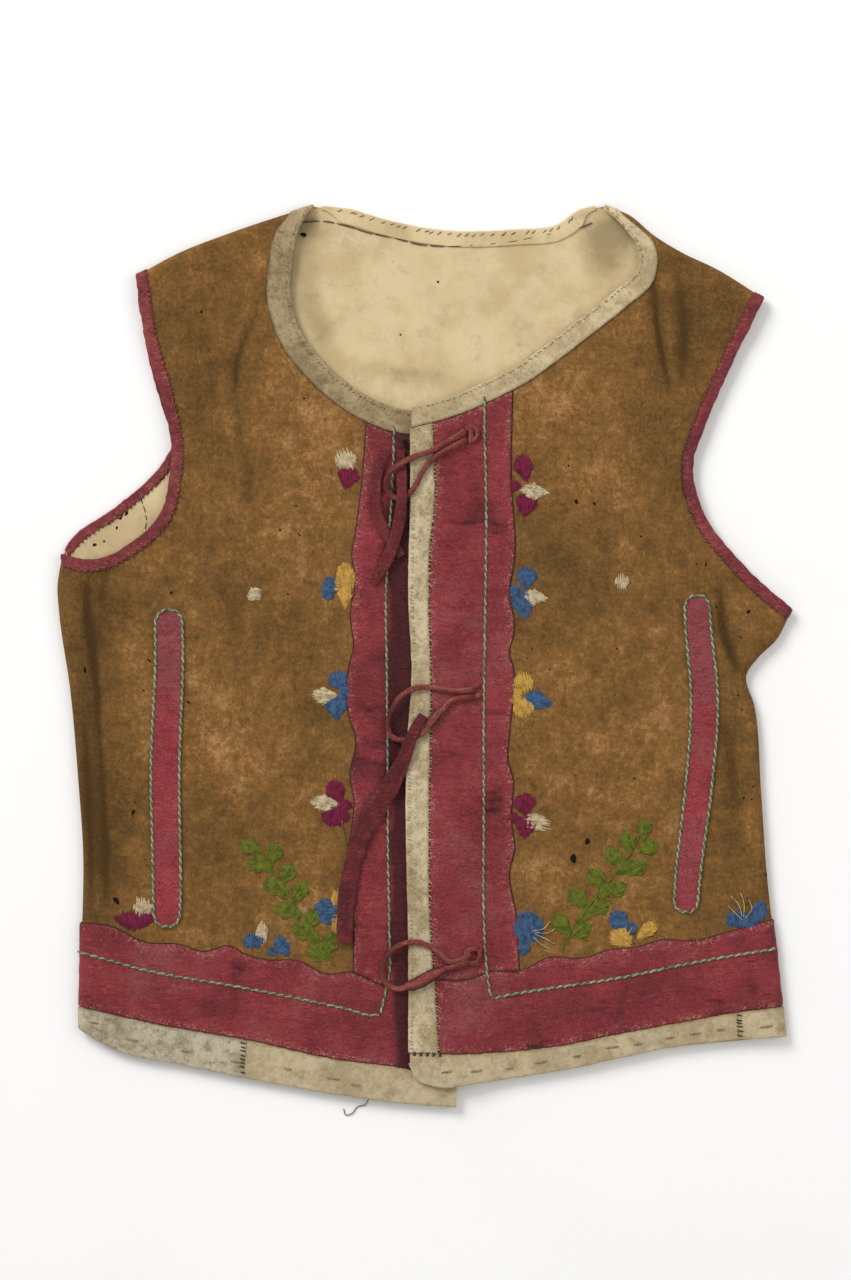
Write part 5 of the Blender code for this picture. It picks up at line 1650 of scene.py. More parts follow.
class Leathers:
    """The finishes of the vest, each made once."""

    def __init__(self) -> None:
        """Makes them."""
        self.body = BodySuede().make()
        self.inner = InnerLeather().make()
        self.both = [self.body, self.inner]
        self.strip = StripSuede("cream_leather", (0.395, 0.305, 0.172), (0.660, 0.550, 0.360),
                                (0.150, 0.104, 0.050), 0.45).make()
        self.hem = StripSuede("cream_hem", (0.425, 0.332, 0.194), (0.590, 0.482, 0.308),
                              (0.165, 0.116, 0.056), 0.30).make()
        self.flaky = StripSuede("cream_flaky", (0.330, 0.270, 0.172), (0.560, 0.490, 0.365),
                                (0.130, 0.092, 0.046), 0.50).make()
        self.right_binding = StripSuede("cream_binding_right", (0.290, 0.212, 0.112), (0.430, 0.335, 0.192),
                                        (0.090, 0.064, 0.030), 0.48).make()
        self.left_binding = StripSuede("cream_binding_left", (0.480, 0.375, 0.215), (0.690, 0.565, 0.350),
                                       (0.150, 0.112, 0.056), 0.40).make()
        self.red = DyedLeather("red_leather", (0.148, 0.014, 0.019), (0.320, 0.037, 0.049),
                               (0.215, 0.066, 0.066), (0.62, 0.36, 0.25), 0.5).make()
        self.welt = DyedLeather("bright_red_leather", (0.185, 0.016, 0.024), (0.400, 0.046, 0.060),
                                (0.190, 0.066, 0.064), (0.60, 0.32, 0.24), 0.5, 0.15).make()
        self.edging = DyedLeather("worn_red_leather", (0.110, 0.014, 0.018), (0.330, 0.048, 0.054),
                                  (0.220, 0.088, 0.070), (0.52, 0.30, 0.20), 0.5, 0.3).make()
        self.tie = DyedLeather("tie_leather", (0.118, 0.018, 0.014), (0.285, 0.052, 0.044),
                               (0.240, 0.078, 0.056), (0.50, 0.27, 0.17), 0.3, 0.3).make()
        self.tail = DyedLeather("tail_leather", (0.066, 0.007, 0.009), (0.190, 0.019, 0.023),
                                (0.140, 0.030, 0.030), (0.26, 0.08, 0.07), 0.5, 0.4).make()


class Vest:
    """The measured vest: its lines, and the faces that everything lies on."""

    def __init__(self) -> None:
        """Measures the lines and makes the faces."""
        self.right_side, self.right_armhole = Line(RIGHT_SIDE), Line(RIGHT_ARMHOLE)
        self.right_neck, self.right_edge = Line(RIGHT_NECK), Line(RIGHT_FRONT_EDGE)
        self.right_shoulder, self.right_hem = Line(RIGHT_SHOULDER), Line(RIGHT_HEM)
        self.left_side, self.left_armhole = Line(LEFT_SIDE), Line(LEFT_ARMHOLE)
        self.left_neck, self.left_edge = Line(LEFT_NECK), Line(LEFT_FRONT_EDGE)
        self.left_shoulder, self.left_hem = Line(LEFT_SHOULDER), Line(LEFT_HEM)
        self.back_neck, self.back_hem = Line(BACK_NECK), Line(BACK_HEM)
        self.back_right_armhole, self.back_left_armhole = Line(BACK_RIGHT_ARMHOLE), Line(BACK_LEFT_ARMHOLE)
        folded = [self.right_side, self.right_shoulder, self.left_side, self.left_shoulder]
        self.right = FrontFace(Outline(folded[:2], (-100, -50)), RIGHT_FOLDS, RIGHT_CREASES, self.press, 11)
        self.left = FrontFace(Outline(folded[2:], (100, -50)), LEFT_FOLDS, LEFT_CREASES, self.climb, 21)
        self.back = BackFace(Outline(folded, (0, 0)))
        fine = {name: strewn(*box) for name, box in FINE_CREASES.items()}
        right = Wrinkles(RIGHT_BAND_CREASES + fine["right_band"] + fine["right_hem"], 18, 5, 0.26, 51)
        left = Wrinkles(LEFT_BAND_CREASES + fine["left_band"] + fine["left_hem"], 18, 5, 0.30, 61)
        self.right_band = Layer(self.right, BAND_THICKNESS, right)
        self.left_band = Layer(self.left, BAND_THICKNESS, left)
        self.right_welt = Layer(self.right, BAND_THICKNESS, Wrinkles(fine["right_welt"], 12, 3, 0.14, 71))
        self.left_welt = Layer(self.left, BAND_THICKNESS, Wrinkles(fine["left_welt"], 12, 3, 0.14, 81))

    def climb(self, plan: Array) -> Array:
        """How the left front climbs over the hidden edge of the right one: a smooth step down beyond it."""
        x, y = self.right_edge.points.T
        beyond = plan[..., 0] - np.interp(plan[..., 1], y, x) - LAP_LEVEL
        return LAP_RISE * (1 - smooth_step(beyond / LAP_SLOPE))

    def press(self, plan: Array) -> Array:
        """How the right front is pressed down under the left one."""
        return -LAP_DIP * smooth_step((plan[..., 0] + 30) / 12)


def dress(piece: Thing, slot: str, *nodes: str) -> Thing:
    """Lets a piece ride with the vest and stand for its CAD nodes, which it hides."""
    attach(piece, "root")
    if nodes:
        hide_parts(*nodes)
    return piece


@dataclass
class Panels:
    """The three body panels: brown outside and cream inside."""

    vest: Vest
    leathers: Leathers
    column_step: float = 2.3
    row_step: float = 2.0
    height: float = 560.0
    back_step: float = 3.0
    crease_shade: float = 1.7

    def rows(self, step: float) -> Array:
        """Shares up a panel, closer where the armhole starts and at the shoulder."""
        start = (1 - UNDERARM) * (1 - fold_shares(ARMHOLE_LENGTH)[::-1])
        side = np.linspace(0, UNDERARM, int(UNDERARM * self.height / step))
        count = int((NECK_CORNER - UNDERARM) * self.height / step)
        above = np.linspace(UNDERARM + start[-1], NECK_CORNER, count)
        neck = NECK_CORNER + (1 - NECK_CORNER) * graded(NECK_LENGTH, step, end_fold=True)
        return np.concatenate([side, UNDERARM + start[1:], above[1:], neck[1:]])

    def front(self, right: bool) -> Thing:
        """One front panel."""
        v = self.vest
        name, surface, patches = "front_left", v.left, LEFT_PATCHES
        hem, shoulder, inner = v.left_hem, v.left_shoulder, [v.left_edge, v.left_neck]
        outer = [v.left_side, v.left_armhole]
        if right:
            name, surface, patches = "front_right", v.right, RIGHT_PATCHES
            hem, shoulder, inner = v.right_hem, v.right_shoulder, [v.right_edge, v.right_neck]
            outer = [v.right_side, v.right_armhole]
        patch = Patch(hem, shoulder, Cornered(inner, [NECK_CORNER]), Cornered(outer, [UNDERARM]))
        plan = patch.plan(graded(HALF_WIDTH, self.column_step, end_fold=True), self.rows(self.row_step))
        points, normal = surface.face(plan)
        # The tone: the colour patches, and painted shade in the creases.
        tone = patch_values(plan, patches) + self.crease_shade * surface.hollows(plan)
        piece = wall(name + "_panel", points, points - WALL * normal, self.leathers.both, {"tone": tone})
        return dress(piece, "brown_suede", name)

    def back(self) -> Thing:
        """The back panel, its inner side the one that shows."""
        v = self.vest
        top = Cornered([v.right_shoulder.reversed(), v.back_neck, v.left_shoulder],
                       [BACK_NECK_START, BACK_NECK_END])
        patch = Patch(v.back_hem, top, Cornered([v.right_side, v.back_right_armhole], [UNDERARM]),
                      Cornered([v.left_side, v.back_left_armhole], [UNDERARM]))
        side = fold_shares(2 * HALF_WIDTH)
        spans = ((1 - side[0], BACK_NECK_START), (BACK_NECK_START, BACK_NECK_END), (BACK_NECK_END, side[0]))
        middle = [np.linspace(low, high, int((high - low) * 2 * HALF_WIDTH / self.back_step))[:-1]
                  for low, high in spans]
        columns = np.concatenate([1 - side[:0:-1], *middle, side])
        plan = patch.plan(columns, self.rows(self.back_step))
        inner, _ = v.back.face(plan)
        outer, _ = v.back.underside(plan)
        piece = wall("back_panel", inner, outer, self.leathers.both[::-1],
                     {"tone": patch_values(plan, INSIDE_PATCHES)})
        return dress(piece, "cream_leather", "back")

    def build(self) -> dict[str, Thing]:
        """All three."""
        return {"right": self.front(True), "left": self.front(False), "back": self.back()}


@dataclass
class Bindings:
    """The bindings round the neck and armholes, and the strips along the hems and the front edge."""

    vest: Vest
    leathers: Leathers
    right_neck_width: float = 14.0
    left_neck_width: float = 11.5
    left_neck_taper: float = 0.7
    back_neck_width: float = 9.0
    armhole_width: float = 6.6
    back_armhole_width: float = 5.0
    back_hem_width: float = 12.0
    wall_reach: float = WALL
    back_reach: float = 1.4
    clear: float = 3.5
    neck_clear: float = 6.2
    step: float = 1.2
    fine_step: float = 0.8
    scallop: float = 0.09
    hem_width: float = 14.0
    edge_width: float = 12.5
    seam: float = 0.24
    apart: float = 0.25
    made: dict[str, Thing] = field(default_factory=dict)

    def neck_rows(self, right: bool, step: float, steps: Array) -> Array:
        """The plan rows of a front's neck binding."""
        v = self.vest
        shares = graded(NECK_LENGTH, step, end_fold=True)
        if right:
            width = self.right_neck_width
            return beside(v.right_neck, width, shares, (0.03, -1), (-0.95, -0.3), (0.12, 0.3), steps)
        width = -self.left_neck_width * np.interp(shares, [0.75, 1.0], [1.0, self.left_neck_taper])
        return beside(v.left_neck, width, shares, (0, -1), (0.94, -0.34), (0.12, 0.3), steps)

    def below_neck(self, right: bool, apart: float) -> Line:
        """The line just below a front's neck binding, where bands and strips end."""
        across = self.neck_rows(right, 3.0, np.array([0.0, 1.0]))
        return Line.through(across[:, 1] + apart * unit(across[:, 1] - across[:, 0]))

    def neck(self) -> None:
        """The three neck bindings."""
        v, soft = self.vest, SuedeRipple(0.12, 91)
        table = (
            ("neck_binding_right", v.right, self.right_neck_width, self.leathers.right_binding),
            ("neck_binding_left", v.left, self.left_neck_width, self.leathers.left_binding),
        )
        for name, surface, width, finish in table:
            plan = self.neck_rows(surface is v.right, self.step, edge_steps(width, start=False))
            piece = turned_over(name + "_suede", surface, plan, self.wall_reach, finish, soft)
            self.made[name] = dress(piece, "cream_leather", name)
        length = v.back_neck.length
        low = self.neck_clear / length
        shares = np.linspace(low, 1 - low, int(length / self.step))
        from_end = np.minimum(shares - shares[0], shares[-1] - shares) * length
        width = self.back_neck_width * (0.2 + 0.8 * smooth_step(from_end / 16.0))
        plan = beside(v.back_neck, -width, shares, (0.1, -1), (-0.1, -1), (0.1, 0.1),
                      edge_steps(self.back_neck_width, start=False))
        piece = turned_over("neck_binding_back_suede", v.back, plan, self.back_reach, self.leathers.inner,
                            SuedeRipple(0.2, 93))
        self.made["neck_binding_back"] = dress(piece, "cream_leather", "neck_binding_back")

    def armholes(self) -> None:
        """The four armhole bindings, pinched once for each stitch along their free side."""
        v, wide, slim = self.vest, self.armhole_width, self.back_armhole_width
        right_ways, left_ways = ((0.05, -1), (0.9, 0.45)), ((-0.45, -0.9), (-0.86, 0.5))
        table = (
            ("front_right", v.right, v.right_armhole, -wide, right_ways),
            ("front_left", v.left, v.left_armhole, wide, left_ways),
            ("back_right", v.back, v.back_right_armhole, -slim, right_ways),
            ("back_left", v.back, v.back_left_armhole, slim, left_ways),
        )
        for side, surface, edge, width, ways in table:
            shares, reach = graded(ARMHOLE_LENGTH, self.fine_step, True, True), self.wall_reach
            if surface is v.back:
                low = self.clear / edge.length
                shares = np.linspace(low, 1 - low, int(edge.length / self.fine_step))
                reach = self.back_reach
            scallop = 1 - self.scallop * np.cos(2 * math.pi * shares * edge.length / ARMHOLE_STITCH)
            steps = edge_steps(abs(width), start=False)
            plan = beside(edge, width * scallop, shares, *ways, (0.08, 0.08), steps)
            name = "armhole_binding_" + side
            wrinkles = Wrinkles((), 3.2, 3.2, 0.42, 100 + len(side))
            piece = turned_over(name + "_leather", surface, plan, reach, self.leathers.edging, wrinkles,
                                Pinch(ARMHOLE_STITCH, 0.75, 2.4))
            self.made[name] = dress(piece, "red_leather", name)

    def hems(self) -> None:
        """Each front's hem strip in two pieces that meet end to end, and the one inside the back's hem."""
        v = self.vest
        table = (
            ("hem_strip_right", v.right, v.right_hem, Line(RIGHT_HEM_STRIP_TOP), RIGHT_HEM_JOIN_X),
            ("hem_strip_left", v.left, v.left_hem, Line(LEFT_HEM_STRIP_TOP), LEFT_HEM_JOIN_X),
        )
        across = edge_steps(self.hem_width, start=False)
        for name, surface, hem, top, join_x in table:
            shares = graded(hem.length, self.step, end_fold=True)
            join, seam = hem.share_where(0, join_x), 0.5 * self.seam / hem.length
            for part, low, high in (("_front", 0.0, join - seam), ("_side", join + seam, 1.0)):
                kept = shares[(shares > low + 0.001) & (shares < high - 0.001)]
                kept = np.concatenate([[low], kept, [high]])
                plan = ruled(hem, kept, top, matched(kept, hem, top), across)
                worn = name + part == "hem_strip_right_side"
                plan[..., 1] += (0.7 if worn else 0.35) * (1 - across) * lattice_noise(plan, 4.5, 4.5, 34)
                piece = turned_over(name + part + "_suede", surface, plan, self.wall_reach,
                                    self.leathers.flaky if worn else self.leathers.hem, SuedeRipple(0.2, 95))
                self.made[name + part] = dress(piece, "cream_leather", name + part)
        low = self.clear / v.back_hem.length
        shares = np.linspace(low, 1 - low, int(v.back_hem.length / 2.0))
        plan = beside(v.back_hem, self.back_hem_width, shares, (0.01, 1), (-0.05, 1), (0.05, 0.05),
                      edge_steps(self.back_hem_width, start=False))
        piece = turned_over("hem_strip_back_suede", v.back, plan, self.back_reach, self.leathers.strip,
                            SuedeRipple(0.12, 96))
        self.made["hem_strip_back"] = dress(piece, "cream_leather", "hem_strip_back")

    def front_edge(self) -> None:
        """The strip down the left front's edge, between the hem strip and the neck binding."""
        v = self.vest
        across = edge_steps(self.edge_width, step=1.0, start=False)
        low = Line(LEFT_HEM_STRIP_TOP).moved(0, self.apart)
        top = self.below_neck(False, self.apart).part(0.0, 0.3)
        plan = upright(v.left_edge, Line(EDGE_STRIP_INNER), low, top, across,
                       int(v.left_edge.length / self.fine_step))
        plan[..., 0] += 0.35 * across * lattice_noise(plan, 5, 2.4, 33)
        piece = turned_over("front_edge_strip_suede", v.left, plan, self.wall_reach, self.leathers.strip,
                            SuedeRipple(0.2, 97), Pinch(2.3, 0.3, 1.2))
        self.made["front_edge_strip"] = dress(piece, "cream_leather", "front_edge_strip")

    def build(self) -> dict[str, Thing]:
        """All of them."""
        self.neck()
        self.armholes()
        self.hems()
        self.front_edge()
        return self.made


@dataclass
class Bands:
    """The red bands along the hems and up the front edges, and the red pocket strips."""

    vest: Vest
    leathers: Leathers
    bindings: Bindings
    width: float = 50.0
    step: float = 1.3
    length: float = 350.0
    welt_width: float = 18.0
    welt_step: float = 1.1
    apart: float = 0.25
    made: dict[str, Thing] = field(default_factory=dict)

    def hem_bands(self) -> None:
        """The bands above the hem strips, cut wavy along the top."""
        v = self.vest
        beyond_strip = EDGE_STRIP_INNER[1][0] + self.apart
        table = (
            ("hem_band_right", v.right_band, Line(RIGHT_HEM_STRIP_TOP), Line(RIGHT_HEM_BAND_TOP)),
            ("hem_band_left", v.left_band, Line(LEFT_HEM_STRIP_TOP), Line(LEFT_HEM_BAND_TOP)),
        )
        for name, layer, strip_top, top in table:
            low = strip_top.moved(0, self.apart)
            if name == "hem_band_left":
                low = low.part(low.share_where(0, EDGE_STRIP_INNER[0][0] + self.apart), 1.0)
                top = top.part(top.share_where(0, beyond_strip), 1.0)
            shares = graded(low.length, self.step, end_fold=True)
            plan = ruled(low, shares, top, matched(shares, low, top), edge_steps(self.width, self.step))
            sides = (Side.FIRST_COLUMN, Side.LAST_COLUMN, Side.FIRST_ROW)
            piece = laid_on(name + "_leather", layer, plan, sides, self.leathers.red,
                            lap_shadow_tone if layer is v.right_band else cloudy)
            self.made[name] = dress(piece, "red_leather", name)

    def front_bands(self) -> None:
        """The bands from the hem bands to the neck bindings, cut wavy on their outer side."""
        v = self.vest
        table = (
            ("front_band_right", v.right_band, v.right_edge.moved(-1.5, 0), Line(RIGHT_BAND_OUTER),
             Line(RIGHT_HEM_BAND_TOP), True),
            ("front_band_left", v.left_band, Line(EDGE_STRIP_INNER).moved(self.apart, 0),
             Line(LEFT_BAND_OUTER), Line(LEFT_HEM_BAND_TOP), False),
        )
        for name, layer, inner, outer, low, right in table:
            top = self.bindings.below_neck(right, self.apart).part(0.0, 0.5)
            plan = upright(inner, outer, low.moved(0, self.apart), top, edge_steps(self.width, self.step),
                           int(self.length / self.step))
            piece = laid_on(name + "_leather", layer, plan, tuple(Side), self.leathers.red,
                            lap_shadow_tone if right else cloudy)
            self.made[name] = dress(piece, "red_leather", name)

    def pocket_strips(self) -> None:
        """The long strips with round ends."""
        v = self.vest
        for name, layer, ribs in (("pocket_strip_right", v.right_welt, RIGHT_WELT),
                                  ("pocket_strip_left", v.left_welt, LEFT_WELT)):
            plan = self.stadium(ribs, edge_steps(self.welt_width, self.welt_step))
            piece = laid_on(name + "_leather", layer, plan, (Side.FIRST_COLUMN, Side.LAST_COLUMN),
                            self.leathers.welt, greyed_above)
            self.made[name] = dress(piece, "red_leather", name)

    @staticmethod
    def stadium(ribs: Sequence[Rib], steps: Array) -> Array:
        """Plan rows across a strip whose half width falls to a quarter circle at either end.

        Args:
            ribs: The middles and widths of the strip.
            steps: The shares across a row.

        Returns:
            The plan grid.
        """
        round_end, step = 9.2, 1.3
        middle = Line([rib[:-1] for rib in ribs])
        near = round_end * (1 - np.cos(np.linspace(0, math.pi / 2, 10))) / middle.length
        straight = np.linspace(near[-1], 1 - near[-1], int(middle.length / step))
        shares = np.concatenate([near[:-1], straight, (1 - near)[-2::-1]])
        width = width_along(ribs, shares)
        square = middle.ways(shares, 0.01)[1]
        from_end = np.clip(np.minimum(shares, 1 - shares) * 2 * middle.length / width, 0, 1)
        half = 0.5 * width * np.maximum(np.sqrt(1 - (1 - from_end) ** 2), 0.03)
        reach = half[:, None] * (2 * steps - 1)
        return middle.at(shares)[:, None] + square[:, None] * reach[..., None]

    def build(self) -> dict[str, Thing]:
        """All of them."""
        self.hem_bands()
        self.front_bands()
        self.pocket_strips()
        return self.made


@dataclass
class Ties:
    """The loops of folded thong, their knots, the ribbons over them and the flat tie ends."""

    vest: Vest
    leathers: Leathers
    width: float = 3.4
    thickness: float = 2.2
    knot_width: float = 3.1
    flat: float = 1.0
    fullness: float = 1.2
    made: dict[str, Thing] = field(default_factory=dict)

    def thong(self, name: str, route: Line, width: float, thickness: float) -> Thing:
        """A strip folded to a flattened tube, its two cut edges meeting in a groove along the top.

        A ring's point is its middle + width/2 * cos a * sideways + thickness/2 * sin a * up, drawn in by a
        fifth at the groove, which wanders from side to side.

        Args:
            name: The piece's name.
            route: The line of its middle.
            width: Its width.
            thickness: Its height.

        Returns:
            The piece.
        """
        shares = np.linspace(0, 1, max(8, int(route.length / 0.6)))
        points = route.at(shares)
        along = unit(np.gradient(points, axis=0))
        side = unit(np.cross(along, (0.0, 0.0, 1.0)))
        up = np.cross(side, along)
        around = np.linspace(0, 2 * math.pi, 21)[:-1]
        run = shares[:, None] * route.length
        middle = math.pi / 2 + 0.7 * np.sin(run / 11.0)
        groove = np.angle(np.exp(1j * (around - middle)))
        swell = 1 - 0.2 * np.exp(-((groove / 0.35) ** 2))
        swell = swell + 0.06 * np.sin(run / 2.7) + 0.04 * np.sin(run / 1.1 + 2 * around)
        end = np.clip(np.minimum(run, route.length - run) / 1.2, 0, 1)
        swell = swell * (0.55 + 0.45 * np.sqrt(1 - (1 - end) ** 2))
        ring = (0.5 * width * swell * np.cos(around))[..., None] * side[:, None]
        ring = ring + (0.5 * thickness * swell * np.sin(around))[..., None] * up[:, None]
        tube = points[:, None] + ring
        edge = np.abs(groove) * 1.5
        tone = np.broadcast_to(0.8 * np.sin(run / 13.0), edge.shape)
        return make_piece(name, tube.reshape(-1, 3), tube_faces(1, *tube.shape[:2]), [self.leathers.tie],
                          values={"edge": edge.ravel(), "tone": tone.ravel()})

    def knots(self, name: str, ways: Sequence[Sequence[Spot]]) -> list[Thing]:
        """Short thongs on the left band, where a loop is fastened."""
        pieces = []
        for number, way in enumerate(ways):
            plan = Line(way)
            points, normal, run = line_on(self.vest.left_band, plan, 1.0, 0.0)
            height = self.knot_width * (0.30 + 0.34 * np.sin(math.pi * run / plan.length))
            route = Line.through(points + height[:, None] * normal)
            piece = self.thong(f"{name}_knot_{number}", route, self.knot_width, 0.7 * self.knot_width)
            pieces.append(dress(piece, "tie_leather"))
        return pieces

    def ribbon(self, name: str, places: Sequence[Tail], seed: int, cup: float, finish: Finish) -> Thing:
        """A flat end or ribbon with lengthwise pleats.

        Across its half width, from -1 to 1, it is lifted by the cup times across^2, a pleat wave and
        unevenness.

        Args:
            name: The piece's name.
            places: Where it passes and how wide it is there.
            seed: Chooses its unevenness.
            cup: How far its sides stand above its middle, negative where they hang.
            finish: Its leather.

        Returns:
            The piece.
        """
        route = Line([place[:-1] for place in places])
        shares = np.linspace(0, 1, max(12, int(route.length / 0.9)))
        points = route.at(shares)
        along = unit(np.gradient(points, axis=0))
        side = unit(np.cross(along, (0.0, 0.0, 1.0)))
        up = unit(np.cross(side, along))
        width = self.fullness * width_along(places, shares)
        across = np.concatenate([[-1.0, -0.95], np.linspace(-0.86, 0.86, 15), [0.95, 1.0]])
        run = shares * route.length
        uneven = np.stack(np.broadcast_arrays(run[:, None], across * 3.0), axis=-1)
        wave = np.cos(math.pi * across * 2.6 + 1.4 * np.sin(run / 17.0 + seed)[:, None])
        lift = 0.3 * lattice_noise(uneven, 7, 2.4, seed) + cup * across**2 + 0.07 * wave
        reach = 0.5 * width[:, None] * across * (1 + 0.08 * lattice_noise(uneven, 5, 50, seed + 1))
        middle = points[:, None] + reach[..., None] * side[:, None]
        half = 0.5 * self.flat * np.sqrt(np.maximum(1 - across**4, 0.05))
        outer = middle + (lift + half)[..., None] * up[:, None]
        inner = middle + (lift - half)[..., None] * up[:, None]
        edge = 0.5 * width[:, None] * (1 - np.abs(across))
        # The tone follows the lift: raised parts come out rubbed, and low pleats and hanging sides get
        # painted shade.
        return wall(name, outer, inner, [finish], {"edge": edge, "tone": 1.6 * lift - 0.1})

    def loop(self, name: str, ways: Sequence[Way], knots: Sequence[Sequence[Spot]],
             ribbon: Sequence[Tail]) -> None:
        """A loop with its knots, and with a ribbon folded over it where it has one."""
        route = Line(ways)
        piece = dress(self.thong(name + "_thong", route, self.width, self.thickness), "tie_leather", name)
        on_it = self.knots(name, knots)
        if ribbon:
            over = self.ribbon(name + "_ribbon", ribbon, 231, -0.7, self.leathers.tie)
            on_it.append(dress(over, "tie_leather"))
        path = (route.at(np.linspace(0, 1, 40)) - ORIGIN) * MM
        self.width * MM
        self.made[name] = piece

    def tail(self, name: str, places: Sequence[Tail], seed: int) -> None:
        """A flat tie end."""
        piece = self.ribbon(name + "_leather", places, seed, 0.18, self.leathers.tail)
        dress(piece, "tie_leather", name)
        route = Line([place[:-1] for place in places])
        path = (route.at(np.linspace(0, 1, 30)) - ORIGIN) * MM
        self.made[name] = piece

    def build(self) -> dict[str, Thing]:
        """All of them."""
        for name, ways, knots, ribbon in (("tie_loop_top", TOP_LOOP, TOP_KNOTS, ()),
                                          ("tie_loop_middle", MIDDLE_LOOP, MIDDLE_KNOTS, MIDDLE_RIBBON),
                                          ("tie_loop_bottom", BOTTOM_LOOP, BOTTOM_KNOTS, BOTTOM_RIBBON)):
            self.loop(name, ways, knots, ribbon)
        for seed, (name, places) in enumerate((("tie_end_top_inner", TOP_TAIL_INNER),
                                               ("tie_end_top_outer", TOP_TAIL_OUTER),
                                               ("tie_end_middle", MIDDLE_TAIL))):
            self.tail(name, places, 200 + 3 * seed)
        return self.made


@dataclass
class Tubes:
    """Many short threads at once, each a row of places that a ring is carried along."""

    ways: Array
    normals: Array
    radius: Array
    sides: int = 6
    flatness: float = 1.0

    def piece(self, name: str, finish: Finish) -> Thing:
        """One mesh of all of them.

        A ring's point is its middle + radius * (cos a * sideways + flatness * sin a * up), where sideways is
        the way along crossed with the surface's normal. Both ends are closed.

        Args:
            name: The piece's name.
            finish: The thread.

        Returns:
            The piece.
        """
        count, rings = self.ways.shape[:2]
        along = unit(np.gradient(self.ways, axis=1))
        normals = np.broadcast_to(self.normals, self.ways.shape)
        side = unit(np.cross(along, normals))
        up = np.cross(side, along)
        angle = np.arange(self.sides) * 2 * math.pi / self.sides
        radius = np.broadcast_to(self.radius, (count, rings))[..., None, None]
        ring = np.cos(angle)[:, None] * side[:, :, None]
        ring = ring + self.flatness * np.sin(angle)[:, None] * up[:, :, None]
        points = (self.ways[:, :, None] + radius * ring).reshape(-1, 3)
        return dress(make_piece(name, points, tube_faces(count, rings, self.sides), [finish]), "")


def tube_faces(tubes: int, rings: int, sides: int) -> list[Array]:
    """The faces of tubes made of rings of points, with a cap at both ends of each."""
    index = np.arange(tubes * rings * sides).reshape(tubes, rings, sides)
    after = np.roll(index, -1, axis=2)
    quads = np.stack([index[:, :-1], index[:, 1:], after[:, 1:], after[:, :-1]], axis=-1).reshape(-1, 4)
    return [quads, np.concatenate([index[:, 0], index[:, -1, ::-1]])]


def rounded_ends(rings: int, radius: float, end: float = 0.35) -> Array:
    """A radius that falls to a share of itself at the first and last ring."""
    t = np.linspace(-1, 1, rings)
    return radius * (end + (1 - end) * np.sqrt(1 - t**6 * 0.999))


def line_on(surface: Surface, line: Line, step: float, lift: float) -> tuple[Array, Array, Array]:
    """Places along a plan line on a surface.

    Args:
        surface: The surface.
        line: The plan line.
        step: The distance between places.
        lift: How far they stand off the surface.

    Returns:
        The places, the normals there and the distances along.
    """
    shares = np.linspace(0, 1, max(4, int(line.length / step)))
    points, normal = surface.face(line.at(shares)[None])
    return points[0] + lift * normal[0], normal[0], shares * line.length


class Threads:
    """The threads, each made once."""

    def __init__(self) -> None:
        """Makes them."""
        table = {
            "white": ((0.620, 0.515, 0.325), (0.300, 0.220, 0.120)),
            "magenta": ((0.212, 0.010, 0.050), (0.088, 0.004, 0.020)),
            "blue": ((0.058, 0.124, 0.240), (0.022, 0.050, 0.108)),
            "yellow": ((0.590, 0.355, 0.070), (0.340, 0.185, 0.036)),
            "green": ((0.152, 0.176, 0.011), (0.064, 0.078, 0.006)),
            "cable_green": ((0.155, 0.225, 0.115), (0.044, 0.074, 0.036)),
            "cable_cream": ((0.460, 0.480, 0.310), (0.190, 0.190, 0.110)),
            "dark": ((0.060, 0.040, 0.022), (0.020, 0.012, 0.008)),
            "brown": ((0.190, 0.118, 0.052), (0.085, 0.050, 0.022)),
            "umber": ((0.120, 0.074, 0.034), (0.050, 0.030, 0.014)),
            "straw": ((0.330, 0.262, 0.150), (0.165, 0.125, 0.066)),
            "tan": ((0.250, 0.165, 0.078), (0.120, 0.076, 0.034)),
            "cream": ((0.560, 0.470, 0.290), (0.220, 0.165, 0.090)),
            "pink": ((0.520, 0.170, 0.190), (0.200, 0.040, 0.060)),
            "grey": ((0.150, 0.135, 0.100), (0.050, 0.042, 0.030)),
        }
        self.by_name = {name: Thread("thread_" + name, *pair).make() for name, pair in table.items()}
        # Dark holes, their darkness painted shade, and dark dots.
        hole = Thread("hole_shade_and_dark_dots", (0.014, 0.008, 0.005), (0.006, 0.004, 0.002), 1.0, 0.0)
        self.by_name["hole"] = hole.make()

    def __getitem__(self, name: str) -> Finish:
        """The thread of a name."""
        return self.by_name[name]


